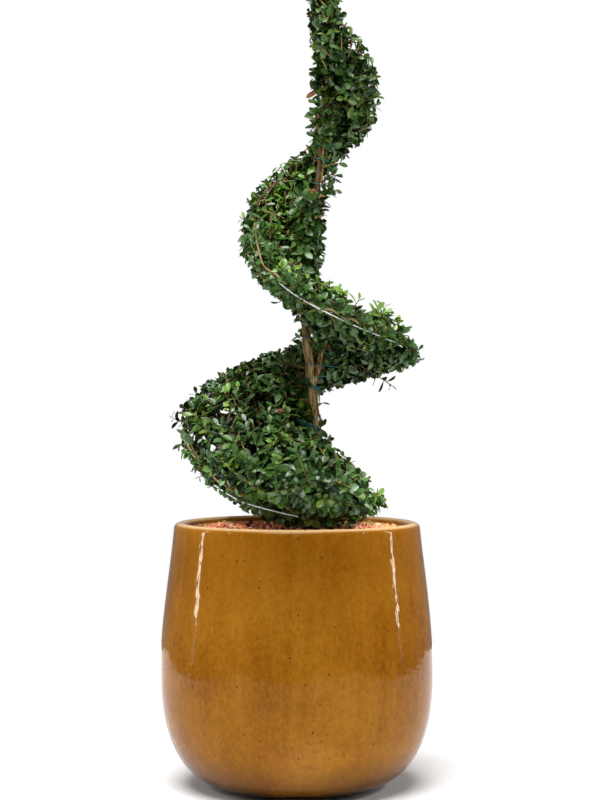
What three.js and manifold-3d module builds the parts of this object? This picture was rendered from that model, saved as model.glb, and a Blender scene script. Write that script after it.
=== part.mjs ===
// Spiral topiary of small-leaved holly, clipped round a leaning trunk and standing in a glazed pot.
// Millimetres, +Z up. The origin is the centre of the pot's flat underside, and -Y is the front.
import * as THREE from 'three';
import { mergeVertices } from 'three/addons/utils/BufferGeometryUtils.js';
import Module from 'manifold-3d';

const wasm = await Module();
wasm.setup();

// Clearance kept between two solids that meet
const GAP = 0.3;

// Pot: a full belly between a small flat foot and a slightly narrower rounded rim
const POT_HEIGHT = 387;
const POT_BELLY_RADIUS = 200;
const POT_BELLY_HEIGHT = 162;
const POT_RIM_RADIUS = 180.5;
const POT_FOOT_RADIUS = 90;
const POT_WALL = 19;
const POT_FLOOR = 22;
const POT_LIP_HEIGHT = 8;
const POT_SHOULDER_PULL = 84;
const POT_BELLY_PULL = 110;
const POT_FOOT_PULL = 65;
const POT_RIM_PULL = new THREE.Vector2(7, -72);
const POT_SIDES = 40;
const POT_OUTSIDE_STEPS = 7;
const POT_INSIDE_STEPS = 3;
const POT_LIP_STEPS = 5;

// Filling: potting soil with a layer of bark chips on it, a little below the rim
const SOIL_TOP = 350;
const MULCH_TOP = 374;
const MULCH_EDGE_DROP = 4;
const MULCH_FLAT_RADIUS = 110;

// Trunk: its centre line passes these places at even steps of height, from the ground to the tip
const TRUNK_X = [31, 29, 19, 12, 28, 37.5, 42.5, 44];
const TRUNK_Y = [0, -2, -4, -1, 3, 4, 1, 0];
const TRUNK_FOOT = MULCH_TOP + GAP;
const TRUNK_TOP = 1212;
const TRUNK_FOOT_RADIUS = 6.9;
const TRUNK_TIP_RADIUS = 1.6;
const ROOT_FLARE = 7;
const ROOT_FLARE_HEIGHT = 16;
const TRUNK_SIDES = 10;
const TRUNK_RINGS = 22;
const TRUNK_RING_CROWDING = 1.35;

// Bare bough that leaves the trunk on the right, under the second turn of the spiral
const BOUGH_FOOT_Z = 586;
const BOUGH_TIP = new THREE.Vector3(46, 8, 658);
const BOUGH_FOOT_RADIUS = 4;
const BOUGH_TIP_RADIUS = 2.6;
const BOUGH_SIDES = 6;
const BOUGH_RINGS = 4;

// Foliage spiral: reach from the trunk, height and half depth of the band at every quarter turn.
// A turn counts from the right and runs by the front to the left as the band climbs.
const STATIONS = [
  { reach: 34, height: 414, half: 38 },
  { reach: 166, height: 436, half: 84 },
  { reach: 203, height: 520, half: 89 },
  { reach: 196, height: 609, half: 47 },
  { reach: 160, height: 640, half: 23 },
  { reach: 132, height: 712, half: 39 },
  { reach: 101, height: 836, half: 68 },
  { reach: 84, height: 927, half: 42 },
  { reach: 81, height: 1014, half: 57 },
  { reach: 56, height: 1102, half: 74 },
  { reach: 20, height: 1148, half: 60 },
  { reach: 14, height: 1180, half: 42 },
  { reach: 10, height: 1208, half: 20 },
];
const TURNS_PER_STATION = 0.25;
const SPIRAL_START = -0.1;
const SPIRAL_END = 3;
const TAIL_TURNS = 0.12;
const TAIL_BLUNTNESS = 0.02;
const BAND_FLOOR = MULCH_TOP + 4;

// Masses: the band is cut into quarter turns, named after the side that they face
const SIDES = ['right', 'front', 'left', 'back'];
const MASS_TURNS = 1 / SIDES.length;
const MASS_COUNT = 10;
const MASS_MARGIN = 0.6;
const CORE_SCALE = 0.89;
const CORE_INNER = 9;
const CORE_SECTION_SIDES = 10;
const CORE_TURN_STEPS = 3;
const BOUGH_MASS = 'foliage_2_right';
const BOUGH_MASS_INNER = 34;

// Sleeves: heights to which some masses run on along the trunk with a leafy twig
const SLEEVE_ENDS = { foliage_2_front: 865, foliage_3_front: 950 };
const SLEEVE_STEP = 28;
const SLEEVE_OFFSET = 8;
const SLEEVE_LEAF = 0.6;

// Twigs and leaves, larger than life so that a few hundred close the surface
const SEED = 20;
const TWIG_SPREAD = 74;
const TWIG_JITTER = 0.18;
const TWIG_ROOT_RADIUS = 3.6;
const TWIG_TIP_RADIUS = 2.2;
const TWIG_END_SCALE = 1;
const LEAF_REACH_SCALE = 1.12;
const STEM_THICKNESS = 0.55;
const STEM_TAPER = 0.7;
const STEM_ROOT_DROP = 0.3;
const STEM_END_SCALE = 0.5;
const LEAVES_PER_TWIG = 5;
const LEAF_LENGTH = 46;
const LEAF_WIDTH = 27;
const LEAF_THICKNESS = 3;
const LEAF_WAIST = 0.56;
const LEAF_STEP = 2;
const LEAF_TRIES = 16;
const LEAF_SWAY = THREE.MathUtils.degToRad(50);
const LEAF_SPREAD_LEAST = THREE.MathUtils.degToRad(72);
const LEAF_SPREAD_MOST = THREE.MathUtils.degToRad(108);
const SMALL_LEAF_REACH = 130;
const SMALLEST_LEAF = 0.55;
const BERRIES_PER_MASS = 2;
const BERRY_RADIUS = 4.5;

// Colours and finish of the named parts
const FINISHES = {
  glaze: { color: 0x9a6a22, roughness: 0.2, metalness: 0 },
  soil: { color: 0x3b2a20, roughness: 0.95, metalness: 0 },
  mulch: { color: 0x8a5238, roughness: 0.9, metalness: 0 },
  bark: { color: 0x9b7a55, roughness: 0.85, metalness: 0 },
  leaves: { color: 0x2f5a34, roughness: 0.5, metalness: 0 },
};

const FULL_TURN = 2 * Math.PI;

// Even random number between two limits, from the seeded sequence
function between(low, high) {
  return low + (high - low) * THREE.MathUtils.seededRandom();
}

// Closed solid for cutting and joining, with the shared corners of the geometry merged
function solidOf(geometry) {
  const bare = geometry.clone();
  bare.deleteAttribute('normal');
  bare.deleteAttribute('uv');
  const merged = mergeVertices(bare, 1e-4);
  const vertProperties = new Float32Array(merged.getAttribute('position').array);
  const triVerts = new Uint32Array(merged.getIndex().array);
  return new wasm.Manifold(new wasm.Mesh({ numProp: 3, vertProperties, triVerts }));
}

function geometryOf(solid) {
  const { vertProperties, triVerts } = solid.getMesh();
  const geometry = new THREE.BufferGeometry();
  geometry.setAttribute('position', new THREE.BufferAttribute(vertProperties, 3));
  geometry.setIndex(new THREE.BufferAttribute(triVerts, 1));
  geometry.computeVertexNormals();
  return geometry;
}

function largestBody(solid) {
  const bodies = solid.decompose();
  return bodies.reduce((largest, body) => (body.volume() > largest.volume() ? body : largest));
}

// Bends a unit cylinder: place(along, across, up) gives the new position of each of its corners
function bentCylinder(sides, rings, place) {
  const geometry = new THREE.CylinderGeometry(1, 1, 1, sides, rings);
  const position = geometry.getAttribute('position');
  for (let i = 0; i < position.count; i += 1) {
    const point = place(position.getY(i) + 0.5, position.getX(i), position.getZ(i));
    position.setXYZ(i, point.x, point.y, point.z);
  }
  return geometry;
}

function namedMesh(name, geometry, finish) {
  const mesh = new THREE.Mesh(geometry, new THREE.MeshStandardMaterial(FINISHES[finish]));
  mesh.name = name;
  return mesh;
}

// Pot and filling

// Side of the pot from its floor to its lip: two curves that meet upright at the belly.
// The inside is the same side set in by the wall and above the floor.
function potSide(wall, floor, steps) {
  const foot = POT_FOOT_RADIUS - wall / 4;
  const belly = POT_BELLY_RADIUS - wall;
  const rim = POT_RIM_RADIUS - wall;
  const lip = POT_HEIGHT - POT_LIP_HEIGHT;
  const lowPull = POT_BELLY_HEIGHT - (POT_BELLY_PULL * (POT_BELLY_HEIGHT - floor)) / POT_BELLY_HEIGHT;
  const side = new THREE.Path();
  side.moveTo(0, floor);
  side.lineTo(foot, floor);
  side.bezierCurveTo(foot + POT_FOOT_PULL, floor, belly, lowPull, belly, POT_BELLY_HEIGHT);
  side.bezierCurveTo(
    belly, POT_BELLY_HEIGHT + POT_SHOULDER_PULL, rim + POT_RIM_PULL.x, lip + POT_RIM_PULL.y, rim, lip);
  return side.getPoints(steps);
}

function potInside() {
  return potSide(POT_WALL, POT_FLOOR, POT_INSIDE_STEPS);
}

// Turns an outline of radius and height round the upright axis
function turned(outline) {
  const geometry = new THREE.LatheGeometry(outline, POT_SIDES);
  return geometry.rotateX(Math.PI / 2);
}

function potGeometry() {
  const outside = potSide(0, 0, POT_OUTSIDE_STEPS);
  const lipRadius = POT_WALL / 2;
  const lipArc = new THREE.EllipseCurve(
    POT_RIM_RADIUS - lipRadius, POT_HEIGHT - POT_LIP_HEIGHT, lipRadius, POT_LIP_HEIGHT, 0, Math.PI);
  const lip = lipArc.getPoints(POT_LIP_STEPS).slice(1);
  const inside = potInside().reverse().slice(1);
  return turned([...outside, ...lip, ...inside]);
}

function insideRadiusAt(height) {
  const wall = potInside();
  const above = wall.findIndex((point) => point.y > height);
  const low = wall[above - 1];
  const high = wall[above];
  return THREE.MathUtils.mapLinear(height, low.y, high.y, low.x, high.x);
}

function soilGeometry() {
  const wall = potInside().filter((point) => point.x > 0 && point.y < SOIL_TOP - GAP);
  const shifted = wall.map((point) => new THREE.Vector2(point.x - GAP, point.y + GAP));
  return turned([
    new THREE.Vector2(0, POT_FLOOR + GAP),
    ...shifted,
    new THREE.Vector2(insideRadiusAt(SOIL_TOP) - GAP, SOIL_TOP),
    new THREE.Vector2(0, SOIL_TOP),
  ]);
}

function mulchGeometry() {
  const bottom = SOIL_TOP + GAP;
  const edge = MULCH_TOP - MULCH_EDGE_DROP;
  return turned([
    new THREE.Vector2(0, bottom),
    new THREE.Vector2(insideRadiusAt(bottom) - 2 * GAP, bottom),
    new THREE.Vector2(insideRadiusAt(edge) - 2 * GAP, edge),
    new THREE.Vector2(MULCH_FLAT_RADIUS, MULCH_TOP),
    new THREE.Vector2(0, MULCH_TOP),
  ]);
}

// Trunk and bough

const trunkLine = new THREE.SplineCurve(TRUNK_X.map((x, i) => new THREE.Vector2(x, TRUNK_Y[i])));

function trunkAt(height) {
  const along = (height - TRUNK_FOOT) / (TRUNK_TOP - TRUNK_FOOT);
  return trunkLine.getPoint(THREE.MathUtils.clamp(along, 0, 1));
}

function trunkRadiusAt(height) {
  const taper = THREE.MathUtils.mapLinear(
    height, TRUNK_FOOT, TRUNK_TOP, TRUNK_FOOT_RADIUS, TRUNK_TIP_RADIUS);
  return taper + ROOT_FLARE * Math.exp((TRUNK_FOOT - height) / ROOT_FLARE_HEIGHT);
}

// Level rings up the trunk, closer together at the root flare
function trunkGeometry(extra) {
  return bentCylinder(TRUNK_SIDES, TRUNK_RINGS, (along, across, up) => {
    const height = THREE.MathUtils.lerp(TRUNK_FOOT, TRUNK_TOP, along ** TRUNK_RING_CROWDING);
    const centre = trunkAt(height);
    const radius = trunkRadiusAt(height) + extra;
    return new THREE.Vector3(centre.x + radius * across, centre.y - radius * up, height);
  });
}

// Straight limb that tapers from one point to another
function limbGeometry(from, to, rootRadius, tipRadius, sides, rings) {
  const axis = new THREE.Vector3().subVectors(to, from).normalize();
  const side = new THREE.Vector3(axis.y, -axis.x, 0);
  if (side.lengthSq() < 1e-6) {
    side.set(1, 0, 0);
  }
  side.normalize();
  const over = new THREE.Vector3().crossVectors(side, axis);
  return bentCylinder(sides, rings, (along, across, up) => {
    const radius = THREE.MathUtils.lerp(rootRadius, tipRadius, along);
    const point = new THREE.Vector3().lerpVectors(from, to, along);
    return point.addScaledVector(side, radius * across).addScaledVector(over, radius * up);
  });
}

function trunkPoint(height) {
  const centre = trunkAt(height);
  return new THREE.Vector3(centre.x, centre.y, height);
}

const boughFoot = trunkPoint(BOUGH_FOOT_Z);
const boughAxis = new THREE.Vector3().subVectors(BOUGH_TIP, boughFoot).normalize();
const boughLine = new THREE.Line3(boughFoot, BOUGH_TIP);
const boughSeat = BOUGH_TIP.clone().addScaledVector(boughAxis, GAP);
const trunkClearance = solidOf(trunkGeometry(GAP));
const boughClearance = solidOf(limbGeometry(
  boughFoot, boughSeat, BOUGH_FOOT_RADIUS + GAP, BOUGH_TIP_RADIUS + GAP, BOUGH_SIDES, BOUGH_RINGS));

function boughGeometry() {
  const limb = limbGeometry(
    boughFoot, BOUGH_TIP, BOUGH_FOOT_RADIUS, BOUGH_TIP_RADIUS, BOUGH_SIDES, BOUGH_RINGS);
  return geometryOf(largestBody(solidOf(limb).subtract(trunkClearance)));
}

// Foliage band

const spiral = new THREE.CatmullRomCurve3(
  STATIONS.map(({ reach, height, half }) => new THREE.Vector3(reach, height, half)),
  false, 'catmullrom', 0.5);

// Reach, middle and half depth of the band at a turn, rounded off at its tail and above the ground
function bandAt(turn) {
  const along = turn / (TURNS_PER_STATION * (STATIONS.length - 1));
  const station = spiral.getPoint(THREE.MathUtils.clamp(along, 0, 1));
  const tail = THREE.MathUtils.clamp((turn - SPIRAL_START) / TAIL_TURNS, TAIL_BLUNTNESS, 1);
  const round = Math.sqrt(1 - (1 - tail) ** 2);
  const low = Math.max(station.y - station.z * round, BAND_FLOOR);
  const high = station.y + station.z * round;
  return { reach: station.x * round, middle: (low + high) / 2, half: (high - low) / 2 };
}

// Point that lies at a distance from the trunk's centre line, at a turn and a height
function pointAt(turn, radius, height) {
  const centre = trunkAt(height);
  const angle = -FULL_TURN * turn;
  const x = centre.x + radius * Math.cos(angle);
  const y = centre.y + radius * Math.sin(angle);
  return new THREE.Vector3(x, y, height);
}

// Point on the band's rounded section: tilt runs from below (-90 degrees) to above (+90 degrees)
function bandPoint(turn, tilt, scale) {
  const { reach, middle, half } = bandAt(turn);
  return pointAt(turn, reach * scale * Math.cos(tilt), middle + half * scale * Math.sin(tilt));
}

// Turn and distance from the trunk of a point, with the turn nearest to a given one
function locate(point, nearTurn) {
  const centre = trunkAt(point.z);
  const across = point.x - centre.x;
  const along = point.y - centre.y;
  const turn = -Math.atan2(along, across) / FULL_TURN;
  return { turn: turn + Math.round(nearTurn - turn), radius: Math.hypot(across, along) };
}

// Nought on the band's middle line, one on its surface
function fullness(point, nearTurn) {
  const { turn, radius } = locate(point, nearTurn);
  const band = bandAt(turn);
  return Math.hypot(radius / band.reach, (point.z - band.middle) / band.half);
}

// Direction in which the band's surface faces at a point
function outward(point, nearTurn) {
  const slope = (axis) => {
    const ahead = fullness(point.clone().add(axis), nearTurn);
    return ahead - fullness(point.clone().sub(axis), nearTurn);
  };
  const x = slope(new THREE.Vector3(1, 0, 0));
  const y = slope(new THREE.Vector3(0, 1, 0));
  const z = slope(new THREE.Vector3(0, 0, 1));
  return new THREE.Vector3(x, y, z).normalize();
}

// True where a point lies on the mass's own side and clear of the trunk, the bough and the ground
function isClear(point, mass) {
  const { turn, radius } = locate(point, mass.middle);
  const edge = Math.min(turn - mass.from, mass.to - turn) * FULL_TURN * radius;
  const trunkClear = radius - trunkRadiusAt(point.z);
  const onBough = boughLine.closestPointToPoint(point, true, new THREE.Vector3());
  const boughClear = point.distanceTo(onBough) - BOUGH_FOOT_RADIUS;
  const isOff = trunkClear > LEAF_THICKNESS && boughClear > LEAF_THICKNESS && point.z > BAND_FLOOR;
  return isOff && edge > MASS_MARGIN;
}

// True where a point also lies inside the clipped band
function isInSpace(point, mass) {
  return isClear(point, mass) && fullness(point, mass.middle) <= LEAF_REACH_SCALE;
}

// Solid inside of a mass, set back from the band's surface and open round the trunk
function coreGeometry(mass) {
  return bentCylinder(CORE_SECTION_SIDES, CORE_TURN_STEPS, (along, across, up) => {
    const turn = THREE.MathUtils.lerp(mass.from, mass.to, along);
    const { reach, middle, half } = bandAt(turn);
    const height = middle - half * CORE_SCALE * up;
    const inner = mass.inner + trunkRadiusAt(height);
    const outer = Math.max(reach * CORE_SCALE, inner + LEAF_THICKNESS);
    const radius = THREE.MathUtils.lerp(inner, outer, Math.max(0, across));
    const inset = (0.5 - along) * 2 * MASS_MARGIN / (FULL_TURN * radius);
    return pointAt(turn + inset, radius, height);
  });
}

// Stem of a mass, from the trunk or from the tip of its bough into the core
function stemGeometry(mass) {
  const band = bandAt(mass.middle);
  const end = pointAt(mass.middle, band.reach * STEM_END_SCALE, band.middle);
  if (mass.name === BOUGH_MASS) {
    return limbGeometry(BOUGH_TIP, end, BOUGH_TIP_RADIUS, TWIG_TIP_RADIUS, BOUGH_SIDES, 1);
  }
  const root = trunkPoint(band.middle - band.half * STEM_ROOT_DROP);
  const thickness = trunkRadiusAt(root.z) * STEM_THICKNESS;
  return limbGeometry(root, end, thickness, thickness * STEM_TAPER, BOUGH_SIDES, 1);
}

// Flat lens with eight faces, broadest past its middle, that starts at the origin and runs along X
function leafGeometry(size) {
  const geometry = new THREE.OctahedronGeometry(1);
  const length = LEAF_LENGTH * size;
  geometry.scale(length / 2, LEAF_WIDTH * size / 2, LEAF_THICKNESS / 2);
  const position = geometry.getAttribute('position');
  for (let i = 0; i < position.count; i += 1) {
    const isWaist = Math.abs(position.getX(i)) < length / 4;
    position.setX(i, isWaist ? length * LEAF_WAIST : position.getX(i) + length / 2);
  }
  return geometry;
}

// Leaf that grows from a root at an angle to the way the surface faces, with its blade facing that way
function placedLeaf(root, facingOut, spread, roll, size) {
  const aside = new THREE.Vector3(facingOut.y, -facingOut.x, 0);
  if (aside.lengthSq() < 1e-6) {
    aside.set(1, 0, 0);
  }
  aside.normalize().applyAxisAngle(facingOut, roll);
  const direction = facingOut.clone().multiplyScalar(Math.cos(spread));
  direction.addScaledVector(aside, Math.sin(spread)).normalize();
  const facing = facingOut.clone().multiplyScalar(Math.sin(spread));
  facing.addScaledVector(aside, -Math.cos(spread)).normalize();
  const width = new THREE.Vector3().crossVectors(facing, direction);
  const frame = new THREE.Matrix4().makeBasis(direction, width, facing).setPosition(root);
  return leafGeometry(size).applyMatrix4(frame);
}

function corners(geometry) {
  const position = geometry.getAttribute('position');
  const points = [];
  for (let i = 0; i < position.count; i += 1) {
    points.push(new THREE.Vector3().fromBufferAttribute(position, i));
  }
  return points;
}

// Leaves spaced evenly round the end of a twig. One with a corner where none is allowed is tried
// at other angles to the twig and then skipped
function twigLeaves(twigEnd, twigAxis, facingOut, size, isAllowed) {
  const leaves = [];
  const firstRoll = between(0, FULL_TURN);
  for (let i = 0; i < LEAVES_PER_TWIG; i += 1) {
    const back = TWIG_TIP_RADIUS + i * LEAF_STEP;
    const root = twigEnd.clone().addScaledVector(twigAxis, -back);
    const roll = firstRoll + (i * FULL_TURN) / LEAVES_PER_TWIG;
    for (let attempt = 0; attempt < LEAF_TRIES; attempt += 1) {
      const spread = between(LEAF_SPREAD_LEAST, LEAF_SPREAD_MOST);
      const sway = LEAF_SWAY * (attempt / LEAF_TRIES);
      const leaf = placedLeaf(root, facingOut, spread, roll + between(-sway, sway), size);
      if (corners(leaf).every(isAllowed)) {
        leaves.push(solidOf(leaf));
        break;
      }
    }
  }
  return leaves;
}

function berryAt(twigEnd, twigAxis) {
  const centre = twigEnd.clone().addScaledVector(twigAxis, BERRY_RADIUS / 2);
  const berry = new THREE.IcosahedronGeometry(BERRY_RADIUS, 0);
  return solidOf(berry.translate(centre.x, centre.y, centre.z));
}

// Ends of a mass's twigs, spread evenly over the band's surface in rows from below to above
function twigPlaces(mass) {
  const { reach, half } = bandAt(mass.middle);
  const section = new THREE.EllipseCurve(0, 0, reach, half, -Math.PI / 2, Math.PI / 2);
  const rows = Math.max(3, Math.round(section.getLength() / TWIG_SPREAD));
  const places = [];
  for (let row = 0; row < rows; row += 1) {
    const point = section.getPointAt((row + 0.5) / rows);
    const tilt = Math.atan2(point.y / half, point.x / reach);
    const arc = point.x * FULL_TURN * (mass.to - mass.from);
    const columns = Math.max(1, Math.round(arc / TWIG_SPREAD));
    for (let column = 0; column < columns; column += 1) {
      const share = (column + 0.5 + between(-TWIG_JITTER, TWIG_JITTER)) / columns;
      places.push({ turn: THREE.MathUtils.lerp(mass.from, mass.to, share), tilt });
    }
  }
  return places;
}

// Twig that runs on from a mass along the trunk, in short straight lengths with leaves at each joint
function sleeveSolids(mass, end) {
  const start = bandAt(mass.middle).middle;
  const steps = Math.ceil(Math.abs(end - start) / SLEEVE_STEP);
  const facingOut = pointAt(mass.middle, 1, end).sub(trunkPoint(end));
  const solids = [];
  let from = null;
  for (let step = 0; step <= steps; step += 1) {
    const height = THREE.MathUtils.lerp(start, end, step / steps);
    const to = pointAt(mass.middle, trunkRadiusAt(height) + SLEEVE_OFFSET, height);
    if (from) {
      const axis = new THREE.Vector3().subVectors(to, from).normalize();
      const overlap = to.clone().addScaledVector(axis, TWIG_TIP_RADIUS);
      solids.push(solidOf(limbGeometry(from, overlap, TWIG_TIP_RADIUS, TWIG_TIP_RADIUS, 3, 1)));
      solids.push(...twigLeaves(to, axis, facingOut, SLEEVE_LEAF, (point) => isClear(point, mass)));
    }
    from = to;
  }
  return solids;
}

// One mass of foliage: stem, core, twigs, leaves and berries fused into one body
function massGeometry(mass) {
  const band = bandAt(mass.middle);
  const size = THREE.MathUtils.clamp(band.reach / SMALL_LEAF_REACH, SMALLEST_LEAF, 1);
  const stemEnd = pointAt(mass.middle, band.reach * STEM_END_SCALE, band.middle);
  let solid = solidOf(coreGeometry(mass)).add(solidOf(stemGeometry(mass)));
  let berries = BERRIES_PER_MASS;
  for (const { turn, tilt } of twigPlaces(mass)) {
    const twigEnd = bandPoint(turn, tilt, TWIG_END_SCALE);
    if (isInSpace(twigEnd, mass)) {
      const root = stemEnd.clone().lerp(bandPoint(turn, tilt, STEM_END_SCALE), 0.5);
      const twigAxis = new THREE.Vector3().subVectors(twigEnd, root).normalize();
      const twig = limbGeometry(root, twigEnd, TWIG_ROOT_RADIUS, TWIG_TIP_RADIUS, 3, 1);
      solid = solid.add(solidOf(twig));
      const facingOut = outward(twigEnd, mass.middle);
      const isAllowed = (point) => isInSpace(point, mass);
      for (const leaf of twigLeaves(twigEnd, twigAxis, facingOut, size, isAllowed)) {
        solid = solid.add(leaf);
      }
      if (berries > 0 && tilt < 0) {
        solid = solid.add(berryAt(twigEnd, twigAxis));
        berries -= 1;
      }
    }
  }
  if (mass.name in SLEEVE_ENDS) {
    for (const piece of sleeveSolids(mass, SLEEVE_ENDS[mass.name])) {
      solid = solid.add(piece);
    }
  }
  return geometryOf(largestBody(solid.subtract(trunkClearance).subtract(boughClearance)));
}

function massList() {
  const masses = [];
  for (let i = 0; i < MASS_COUNT; i += 1) {
    const middle = i * MASS_TURNS;
    const name = `foliage_${1 + Math.floor(i / SIDES.length)}_${SIDES[i % SIDES.length]}`;
    masses.push({
      name,
      middle,
      from: Math.max(middle - MASS_TURNS / 2, SPIRAL_START + TAIL_TURNS / 10),
      to: middle + MASS_TURNS / 2,
      inner: name === BOUGH_MASS ? BOUGH_MASS_INNER : CORE_INNER,
    });
  }
  const from = masses[MASS_COUNT - 1].to;
  masses.push({
    name: 'foliage_tip',
    middle: (from + SPIRAL_END) / 2,
    from,
    to: SPIRAL_END,
    inner: LEAF_THICKNESS,
  });
  return masses;
}

const topiary = new THREE.Group();
topiary.add(namedMesh('pot', potGeometry(), 'glaze'));
topiary.add(namedMesh('potting_soil', soilGeometry(), 'soil'));
topiary.add(namedMesh('bark_mulch', mulchGeometry(), 'mulch'));
topiary.add(namedMesh('trunk', trunkGeometry(0), 'bark'));
topiary.add(namedMesh('bough_right', boughGeometry(), 'bark'));

THREE.MathUtils.seededRandom(SEED);
for (const mass of massList()) {
  topiary.add(namedMesh(mass.name, massGeometry(mass), 'leaves'));
}

export default topiary;
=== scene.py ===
"""Looks of the potted spiral topiary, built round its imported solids. Metres, +Z up, -Y to the front."""

import math

import bpy
import numpy as np
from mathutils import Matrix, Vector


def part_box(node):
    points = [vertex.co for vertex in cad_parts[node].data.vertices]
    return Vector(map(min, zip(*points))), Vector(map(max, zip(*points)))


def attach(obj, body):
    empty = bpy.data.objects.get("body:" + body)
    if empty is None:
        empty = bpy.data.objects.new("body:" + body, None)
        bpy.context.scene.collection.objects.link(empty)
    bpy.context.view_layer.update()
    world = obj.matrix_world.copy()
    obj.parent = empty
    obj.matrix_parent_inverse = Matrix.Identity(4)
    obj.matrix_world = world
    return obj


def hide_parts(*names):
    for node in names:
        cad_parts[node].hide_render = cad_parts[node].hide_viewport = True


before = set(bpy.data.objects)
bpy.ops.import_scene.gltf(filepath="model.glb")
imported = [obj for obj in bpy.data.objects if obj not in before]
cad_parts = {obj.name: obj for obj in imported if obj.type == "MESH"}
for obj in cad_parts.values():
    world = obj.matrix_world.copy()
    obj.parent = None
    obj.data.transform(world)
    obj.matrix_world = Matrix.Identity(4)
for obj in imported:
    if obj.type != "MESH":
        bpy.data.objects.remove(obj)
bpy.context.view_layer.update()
FOLIAGE_NODES = sorted(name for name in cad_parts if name.startswith("foliage"))
FULL_TURN = 2 * math.pi
UP = np.array([0, 0, 1.0])
SEED = 20

# Pot: a full belly between a small flat foot and a slightly narrower rounded rim
POT_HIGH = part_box("pot")[1]
POT_HEIGHT = POT_HIGH.z
POT_BELLY_RADIUS = POT_HIGH.x
POT_BELLY_HEIGHT = 0.162
POT_RIM_RADIUS = 0.1805
POT_FOOT_RADIUS = 0.090
POT_FOOT_INSET = 0.25
POT_WALL = 0.019
POT_FLOOR = 0.022
POT_LIP_HEIGHT = 0.008
POT_SHOULDER_PULL = 0.084
POT_BELLY_PULL = 0.110
POT_FOOT_PULL = 0.065
POT_RIM_PULL = (0.007, -0.072)
POT_SIDES = 192
POT_SIDE_STEPS = 40
POT_LIP_STEPS = 14
# Waves of the thrown wall: their number round the pot, how fast they climb and how deep they are
POT_WAVES = ((3, 9.0, 0.00040), (5, 17.0, 0.00022), (11, 31.0, 0.00009))

# Filling: a lumpy bed of mulch with loose chips of bark on it
MULCH_LOW, MULCH_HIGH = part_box("bark_mulch")
MULCH_TOP = MULCH_HIGH.z
MULCH_CLEARANCE = 0.002
MULCH_RADIUS = MULCH_HIGH.x - MULCH_CLEARANCE
MULCH_EDGE_DROP = 0.004
BED_DEPTH = 0.006
BED_RINGS = 22
BED_SIDES = 96
BED_FIRST_RING = 0.004
BED_LUMPS = (40, 14)
BED_LUMP_HEIGHT = 0.002
CHIPS = 2200
CHIP_LENGTH = (0.010, 0.028)
CHIP_BREAKAGE = (0.6, 1.0)
CHIP_WIDTH = (0.004, 0.010)
CHIP_THICKNESS = (0.0015, 0.0040)
CHIP_RISE = (-0.004, 0.0035)
CHIP_TILT = math.radians(58)
CHIP_ROLL = (-0.6, 0.6)
CHIP_RAGGEDNESS = (0.55, 1.1)
CHIP_FACES = np.array([
    [0, 1, 3], [0, 3, 2], [4, 6, 7], [4, 7, 5], [0, 4, 5], [0, 5, 1],
    [2, 3, 7], [2, 7, 6], [0, 2, 6], [0, 6, 4], [1, 5, 7], [1, 7, 3],
])

# Trunk and its bare bough
TRUNK_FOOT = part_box("trunk")[0].z
TRUNK_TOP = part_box("trunk")[1].z
TRUNK_X = (0.031, 0.029, 0.019, 0.012, 0.028, 0.0375, 0.0425, 0.044)
TRUNK_Y = (0, -0.002, -0.004, -0.001, 0.003, 0.004, 0.001, 0)
TRUNK_LINE = np.column_stack([TRUNK_X, TRUNK_Y])
TRUNK_FOOT_RADIUS = 0.0069
TRUNK_TIP_RADIUS = 0.0016
ROOT_FLARE = 0.007
ROOT_FLARE_HEIGHT = 0.016
ROOT_FLUTES = 5
ROOT_FLUTE_DEPTH = 0.003
ROOT_FLUTE_TURN = 0.7
BARK_SIDES = 28
BARK_RINGS = 420
BARK_RING_CROWDING = 1.35
BARK_RIDGE = 0.10
# Layers of ridges: their number round the trunk, the rings to each and their weight
BARK_LAYERS = ((9, 12, 1.0), (17, 5, 0.6))
KNOTS = 11
KNOT_LOWEST = TRUNK_FOOT + 0.03
KNOT_HIGHEST = 0.95
KNOT_HEIGHT = 0.0018
KNOT_SIZE = 0.0045
KNOT_EYE_DEPTH = 0.6
KNOT_EYE_TIGHTNESS = 2.2
BOUGH_FOOT_Z = 0.586
BOUGH_TIP = np.array([0.046, 0.008, 0.658])
BOUGH_RADII = (0.0040, 0.0026)
BOUGH_TURNS = (0.875, 1.125)
BOUGH_SIDES = 14
BOUGH_RINGS = 40
# Size of the bough's bends, lumps and collar, and how fast each changes along it
BOUGH_BEND = (0.0016, 7)
BOUGH_LUMP = (0.10, 23)
BOUGH_COLLAR = (0.35, 9)

# Foliage spiral: reach from the trunk, height and half depth of the band at every quarter turn.
# A turn counts from the right and runs by the front to the left as the band climbs.
STATIONS = (
    (0.034, 0.414, 0.038),
    (0.166, 0.436, 0.084),
    (0.203, 0.520, 0.089),
    (0.196, 0.609, 0.047),
    (0.160, 0.640, 0.023),
    (0.132, 0.712, 0.039),
    (0.101, 0.836, 0.068),
    (0.084, 0.927, 0.042),
    (0.081, 1.014, 0.057),
    (0.056, 1.102, 0.074),
    (0.020, 1.148, 0.060),
    (0.014, 1.180, 0.042),
    (0.010, 1.208, 0.020),
)
SPIRAL_START = -0.1
SPIRAL_END = 3
TAIL_TURNS = 0.12
TAIL_BLUNTNESS = 0.02
BAND_FLOOR = MULCH_TOP + 0.004
SLOPE_STEP = 0.001

# Limbs inside the band, one for each slice of its turns
SLICE_TURNS = 1 / 16
LIMB_RADII = (0.0034, 0.0014)
LIMB_SIDES = 7
LIMB_POINTS = 6
LIMB_BARE_POINTS = 3
LIMB_ROOT_DROP = 0.3
LIMB_END_SCALE = 0.5
LIMB_SAG = 0.006

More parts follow.
